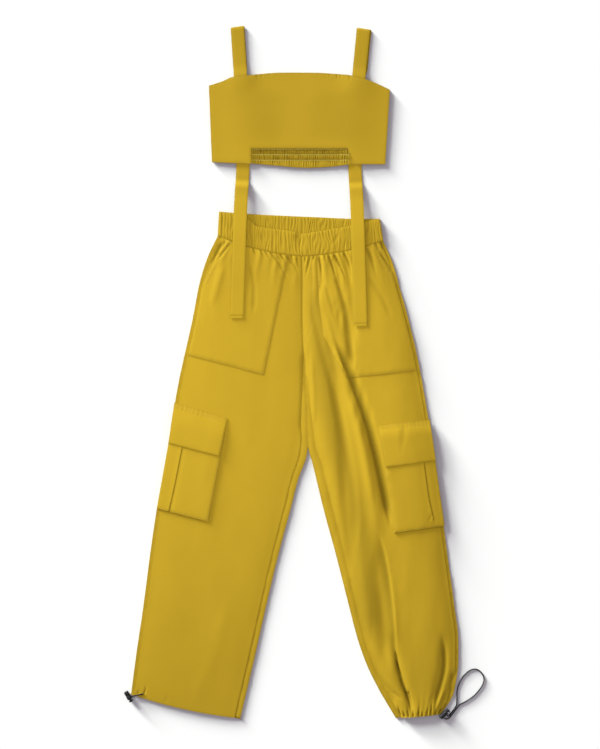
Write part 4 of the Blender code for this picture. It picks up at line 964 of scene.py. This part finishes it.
for side in ("left", "right"):
    makePanel("legBack_" + side, "leg_back_" + side, legBack[side], cotton, thick=1.3)
    makePanel("legFront_" + side, "leg_front_" + side, legFront[side], cotton, drop=0.15, rim=0.1)
    makePanel("hipPatch_" + side, "hip_patch_" + side, lookOf(hipPatch, side), cotton, drop=0.7, reach=4.0,
              before=lambda panel: panel.bend(-0.25))
    makePanel("cargoPocket_" + side, "cargo_pocket_" + side, lookOf(cargoPocket, side), cotton,
              thick=2.4, drop=0.5)
    makePanel("cargoFlap_" + side, "cargo_flap_" + side, lookOf(cargoFlap, side), cotton, thick=1.4)
    print("trouser leg", side)


def ribbed(panel, pitch, depth, wobble, seed, within, dark):
    # small upright gathers, uneven in spacing and depth, with painted shade in their troughs
    x = panel.plan[:, 0]
    beat = wrinkles(panel.plan, (5, 16), seed + 7)
    phase = x / pitch + wobble * wrinkles(panel.plan, (11, 30), seed)
    trough = (0.5 + 0.5 * np.cos(2 * math.pi * phase)) ** 1.6
    size = np.clip(0.75 + 0.7 * beat, 0.15, 1.3) * within
    panel.z = panel.z - depth * trough * size
    panel.paintShade(dark * trough * size)


waistband = {
    "both": {"step": (0.9, 2), "smooth": 6, "fineEdge": True},
    "front": {"rise": 0.6, "seed": 3, "deep": 0,
              "creases": ((((298, 233), (300, 243), (301, 254)), 12, 8, -1.3, 6),
                          (((258, 232), (268, 244), (276, 250)), 5, 5, -0.5, 8),
                          (((340, 233), (333, 243), (327, 250)), 5, 5, -0.5, 8)),
              "shade": ((((298, 234), (300.5, 252)), 13, 0.25, 5),)},
    # deep: painted shade over the whole band, more on the back band's inner face
    "back": {"rise": 0.4, "seed": 9, "deep": 0.18},
}
ribShape = {
    "pitch": 4.9, "depth": 0.66, "wobble": 1.5, "finePitch": 2.35, "fineDepth": 0.2, "fineWobble": 1.0,
    "edgeShade": 0.26, "edgeReach": 3.4, "dark": 0.35, "fineShade": 0.16,
}


def bandRibs(panel):
    calm = ease(panel.away / 3.0) * 0.45 + 0.55
    seed = panel.look["seed"]
    panel.bend(panel.look["rise"])
    # painted shade over the band and along its edges
    panel.paintShade(panel.look["deep"])
    edge = 1 - np.clip(panel.away / ribShape["edgeReach"], 0, 1)
    panel.paintShade(ribShape["edgeShade"] * edge)
    rib = ribShape
    ribbed(panel, rib["pitch"], rib["depth"], rib["wobble"], seed, calm, rib["dark"])
    ribbed(panel, rib["finePitch"], rib["fineDepth"], rib["fineWobble"], seed + 2, calm, rib["fineShade"])


for half in ("front", "back"):
    makePanel("waistband" + half.title(), "waistband_" + half, lookOf(waistband, half), cotton,
              before=bandRibs, thick=1.6, drop=0.6, reach=2.0)
print("waistband")


topFront = {
    "step": (3.2, 3.2), "smooth": 110, "wrinkles": (((60, 50), 0.25),),
    "finer": (((1.2, 1.6), (226, 72), (372, 86)),),
    "creases": tuple(
        (((x, y), (x + lean, y + long)), 1.7, 1.7, -0.7, 1.5)
        for x, y, lean, long in (
            (251, 73.6, 0.4, 6), (257.6, 73.2, 0.2, 8), (262, 73, 0.4, 7), (271, 72.6, 0.2, 5),
            (330, 73, -0.3, 5), (337.5, 73.4, -0.4, 8), (341, 73.8, -0.3, 6), (350, 75, -0.6, 8),
        )
    ),
    "rows": (((238, 75.6), (358, 77.8), 1.3), ((213.4, 161.4), (249, 162.4), 1.3),
             ((353, 164.2), (384.2, 164.4), 1.3)),
    "shade": ((((268, 84), (270, 150)), 44, 0.11, 30), (((336, 84), (340, 150)), 66, 0.13, 30)),
}
topBack = {
    "step": (3.2, 3.2), "smooth": 1, "finer": (((0.8, 1.2), (250, 147), (349, 169)),),
    "wrinkles": (((40, 40), 0.3),),
}
makePanel("topFront", "top_front", topFront, cottonSmooth)
shirring = {
    "lines": (149.3, 154.7, 160.3), "sides": (251, 348), "half": 1.1, "draw": 0.5,
    "pitch": 3.3, "depth": 1.4, "wobble": 0.9, "rise": 0.9, "frill": 162.2, "deep": 0.48, "frillDeep": 0.24,
    # dark, deep and frillDeep: painted shade in the gathers' troughs and over the shirred cloth, less of it
    # in the frill
    "dark": 0.95,
}


def shirr(panel):
    # rows of elastic thread draw the cloth in, and it stands up between them; painted shade darkens the
    # gathered cloth, less in the frill
    x, y = panel.plan.T
    left, right = spot(shirring["sides"][0], 0)[0], spot(shirring["sides"][1], 0)[0]
    first = spot(0, shirring["lines"][0])[1]
    within = ease((x - left + 2) / 4) * ease((right + 8 - x) / 6) * ease((first + 3 - y) / 3)
    rows = np.zeros(len(x))
    for line in shirring["lines"]:
        rows = np.maximum(rows, np.exp(-((y - spot(0, line)[1]) / shirring["half"]) ** 2))
    between = 1 - 0.75 * rows
    panel.bend(within * shirring["rise"] * between)
    # the gathers fall differently from row to row, and are shallow in the frill
    above = sum(spot(0, line)[1] > y for line in shirring["lines"])
    frill = ease((spot(0, shirring["frill"])[1] - y) / 1.5)
    for level in range(len(shirring["lines"]) + 1):
        here = within * between * (above == level)
        ribbed(panel, shirring["pitch"], shirring["depth"], shirring["wobble"], 5.0 + 3.1 * level,
               here * (1 - 0.55 * frill), shirring["dark"])
    panel.bend(-shirring["draw"] * rows * within)
    # painted shade over the shirred cloth, lighter in the frill
    panel.paintShade((shirring["deep"] - shirring["frillDeep"] * frill) * within)
    for line in shirring["lines"]:
        places = np.arange(shirring["sides"][0] + 0.5, shirring["sides"][1] + 2, 1.0)
        run = np.array([spot(at, line) for at in places])
        allStitches.append((panel, run, "elastic"))


makePanel("topBack", "top_back", topBack, cottonSmooth, before=shirr)
print("top")


strap = {
    "width": 20.6, "thick": 1.4, "step": 2.2, "across": 12, "onFloor": 320.0, "sewnIn": 12.0,
    "frontStep": 6.0, "backStep": 8.0, "overTop": 1.9, "hiddenFrom": 14, "bridging": 30,
    # the fold above the top: where its middle is, how far round it is, and the angles it is placed at
    "foldBack": 1.55, "foldRadius": 0.85, "foldAngles": (60, 25, -10, -45, -75),
    # how far the layer behind shows to the right of the one in front, and the slant of the fold
    "left": {"behind": 0.8, "slant": 0.13}, "right": {"behind": 2.2, "slant": -0.15},
    "edgeThin": 0.55, "stitchLine": 0.83, "groove": 0.12,
    # painted shade on the layer behind, along the hem line and at the edges
    "behindShade": 0.5, "hemShade": 0.4, "hemIn": 4.5, "edgeShade": 0.2, "sharp": 50,
}


def strapStations(side, solid):  # the middle of the band, from its seam over the fold to its free end
    low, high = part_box("top_strap_" + side)
    top, end = high.y * 1000, low.y * 1000
    acrossX = np.arange(low.x * 1000 - 1, high.x * 1000 + 1, 0.25)

    def centreAt(y):
        hits = [x for x in acrossX if solid.top(x, y) is not None]
        return (hits[0] + hits[-1]) / 2 if hits else None

    half, onFloor, behind = strap["thick"] / 2, strap["onFloor"], strap[side]["behind"]
    sewnEnd = float(np.max(panels["top_front"].solid.outline[:, 1])) - strap["sewnIn"]
    stations = []
    for y in np.arange(sewnEnd, top - 2.0, strap["frontStep"]):
        x = centreAt(y)
        stations.append((x, y, max(solid.top(x, y) - half, strap["overTop"])))
    fold, back, radius = stations[-1][0], strap["foldBack"], strap["foldRadius"]
    first, *_, last = strap["foldAngles"]
    for angle in strap["foldAngles"]:
        a = math.radians(angle)
        shift = behind * (first - angle) / (first - last)
        stations.append((fold + shift, top - back + radius * math.cos(a), back + radius * math.sin(a)))
    stations.append((fold + behind, top - 5.0, half))
    # the top hides the band from here down to the floor between top and waist
    hidden = sewnEnd + strap["hiddenFrom"]
    over, below = centreAt(hidden), centreAt(onFloor)
    for y in np.arange(top - 15.0, end, -strap["backStep"]):
        if y > onFloor:
            share = min((hidden - y) / (hidden - onFloor), 1)
            x = centreAt(y) + behind if share < 0 else over + (below - over) * share
            stations.append((x, y, half))
        else:
            x = centreAt(y)
            stations.append((x, y, solid.top(x, y) - half))
    x = centreAt(end + 1.0)
    stations.append((x, end, solid.top(x, end + 1.0) - half))
    stations = np.array(stations)
    # where it lies on the trousers it bridges their hollows
    lying = np.where(stations[:, 1] < onFloor - strap["bridging"])[0]
    z = stations[:, 2].copy()
    for _ in range(2):
        reach = [z[max(lying[0], i - 2):i + 3].max() for i in lying]
        z[lying] = [np.mean(reach[max(0, k - 2):k + 3]) for k in range(len(lying))]
    stations[:, 2] = z
    return stations, sewnEnd, top


def makeStrap(side):
    name = "top_strap_" + side
    stations, sewnEnd, top = strapStations(side, Solid(name))
    run = smoothRun(stations, strap["step"])
    way = unit(np.gradient(run, axis=0))
    flat = np.stack((way[:, 1], -way[:, 0], np.zeros(len(way))), axis=1)
    flat *= np.where(flat[:, :1] > 0, 1.0, -1.0)
    size = np.linalg.norm(flat, axis=1)[:, None]
    straight = (size > 0.3) & (run[:, 1:2] < top - 6)
    flat = np.where(straight, unit(flat), np.array((1.0, 0.0, 0.0)))
    flat[:, 1] += strap[side]["slant"] * np.exp(-((top - run[:, 1]) / 9.0) ** 2)
    up = np.cross(flat, way)
    half, thick, thin = strap["width"] / 2, strap["thick"] / 2, strap["edgeThin"]
    shares = np.linspace(-1, 1, strap["across"] + 1)
    ring = []
    for s in shares:
        groove = strap["groove"] * (abs(abs(s) - strap["stitchLine"]) < 0.01)
        ring.append((s * half, thick * (thin if abs(s) == 1 else 1.0) - groove))
    ring += [(s * half, -thick * (thin if abs(s) == 1 else 1.0)) for s in shares[::-1]]
    verts, paintedShades, along = [], [], lengths(run)
    # the layer behind lies in shade and the free end has a hem: both get painted shade, as do the edges
    # below
    deep = strap["behindShade"] * ((run[:, 2] < 1.5) & (run[:, 1] > sewnEnd))
    deep = deep + strap["hemShade"] * np.exp(-((along[-1] - along - strap["hemIn"]) / 1.1) ** 2)
    for p, f, u, shade in zip(run, flat, up, deep):
        for a, b in ring:
            x, y, z = p + f * a + u * b
            verts.append((x * mm, y * mm, max(z, 0.03) * mm))
            paintedShades.append(shade + strap["edgeShade"] * (abs(a) == half))
    mesh = newMesh("strap_" + side, verts, tubeFaces(len(run), len(ring)))
    faceOutwards(mesh)
    addPaintedShade(mesh, paintedShades)
    return placed(mesh, cottonSmooth, name, sharp=strap["sharp"]), float(along[-1]) * mm


straps = {side: makeStrap(side) for side in ("left", "right")}
print("straps", {side: round(length, 3) for side, (_, length) in straps.items()})


makeStitches("sewing", sewingThread)
makeStitches("elastic", elasticThread)
print("stitching,", len(allStitches), "rows")
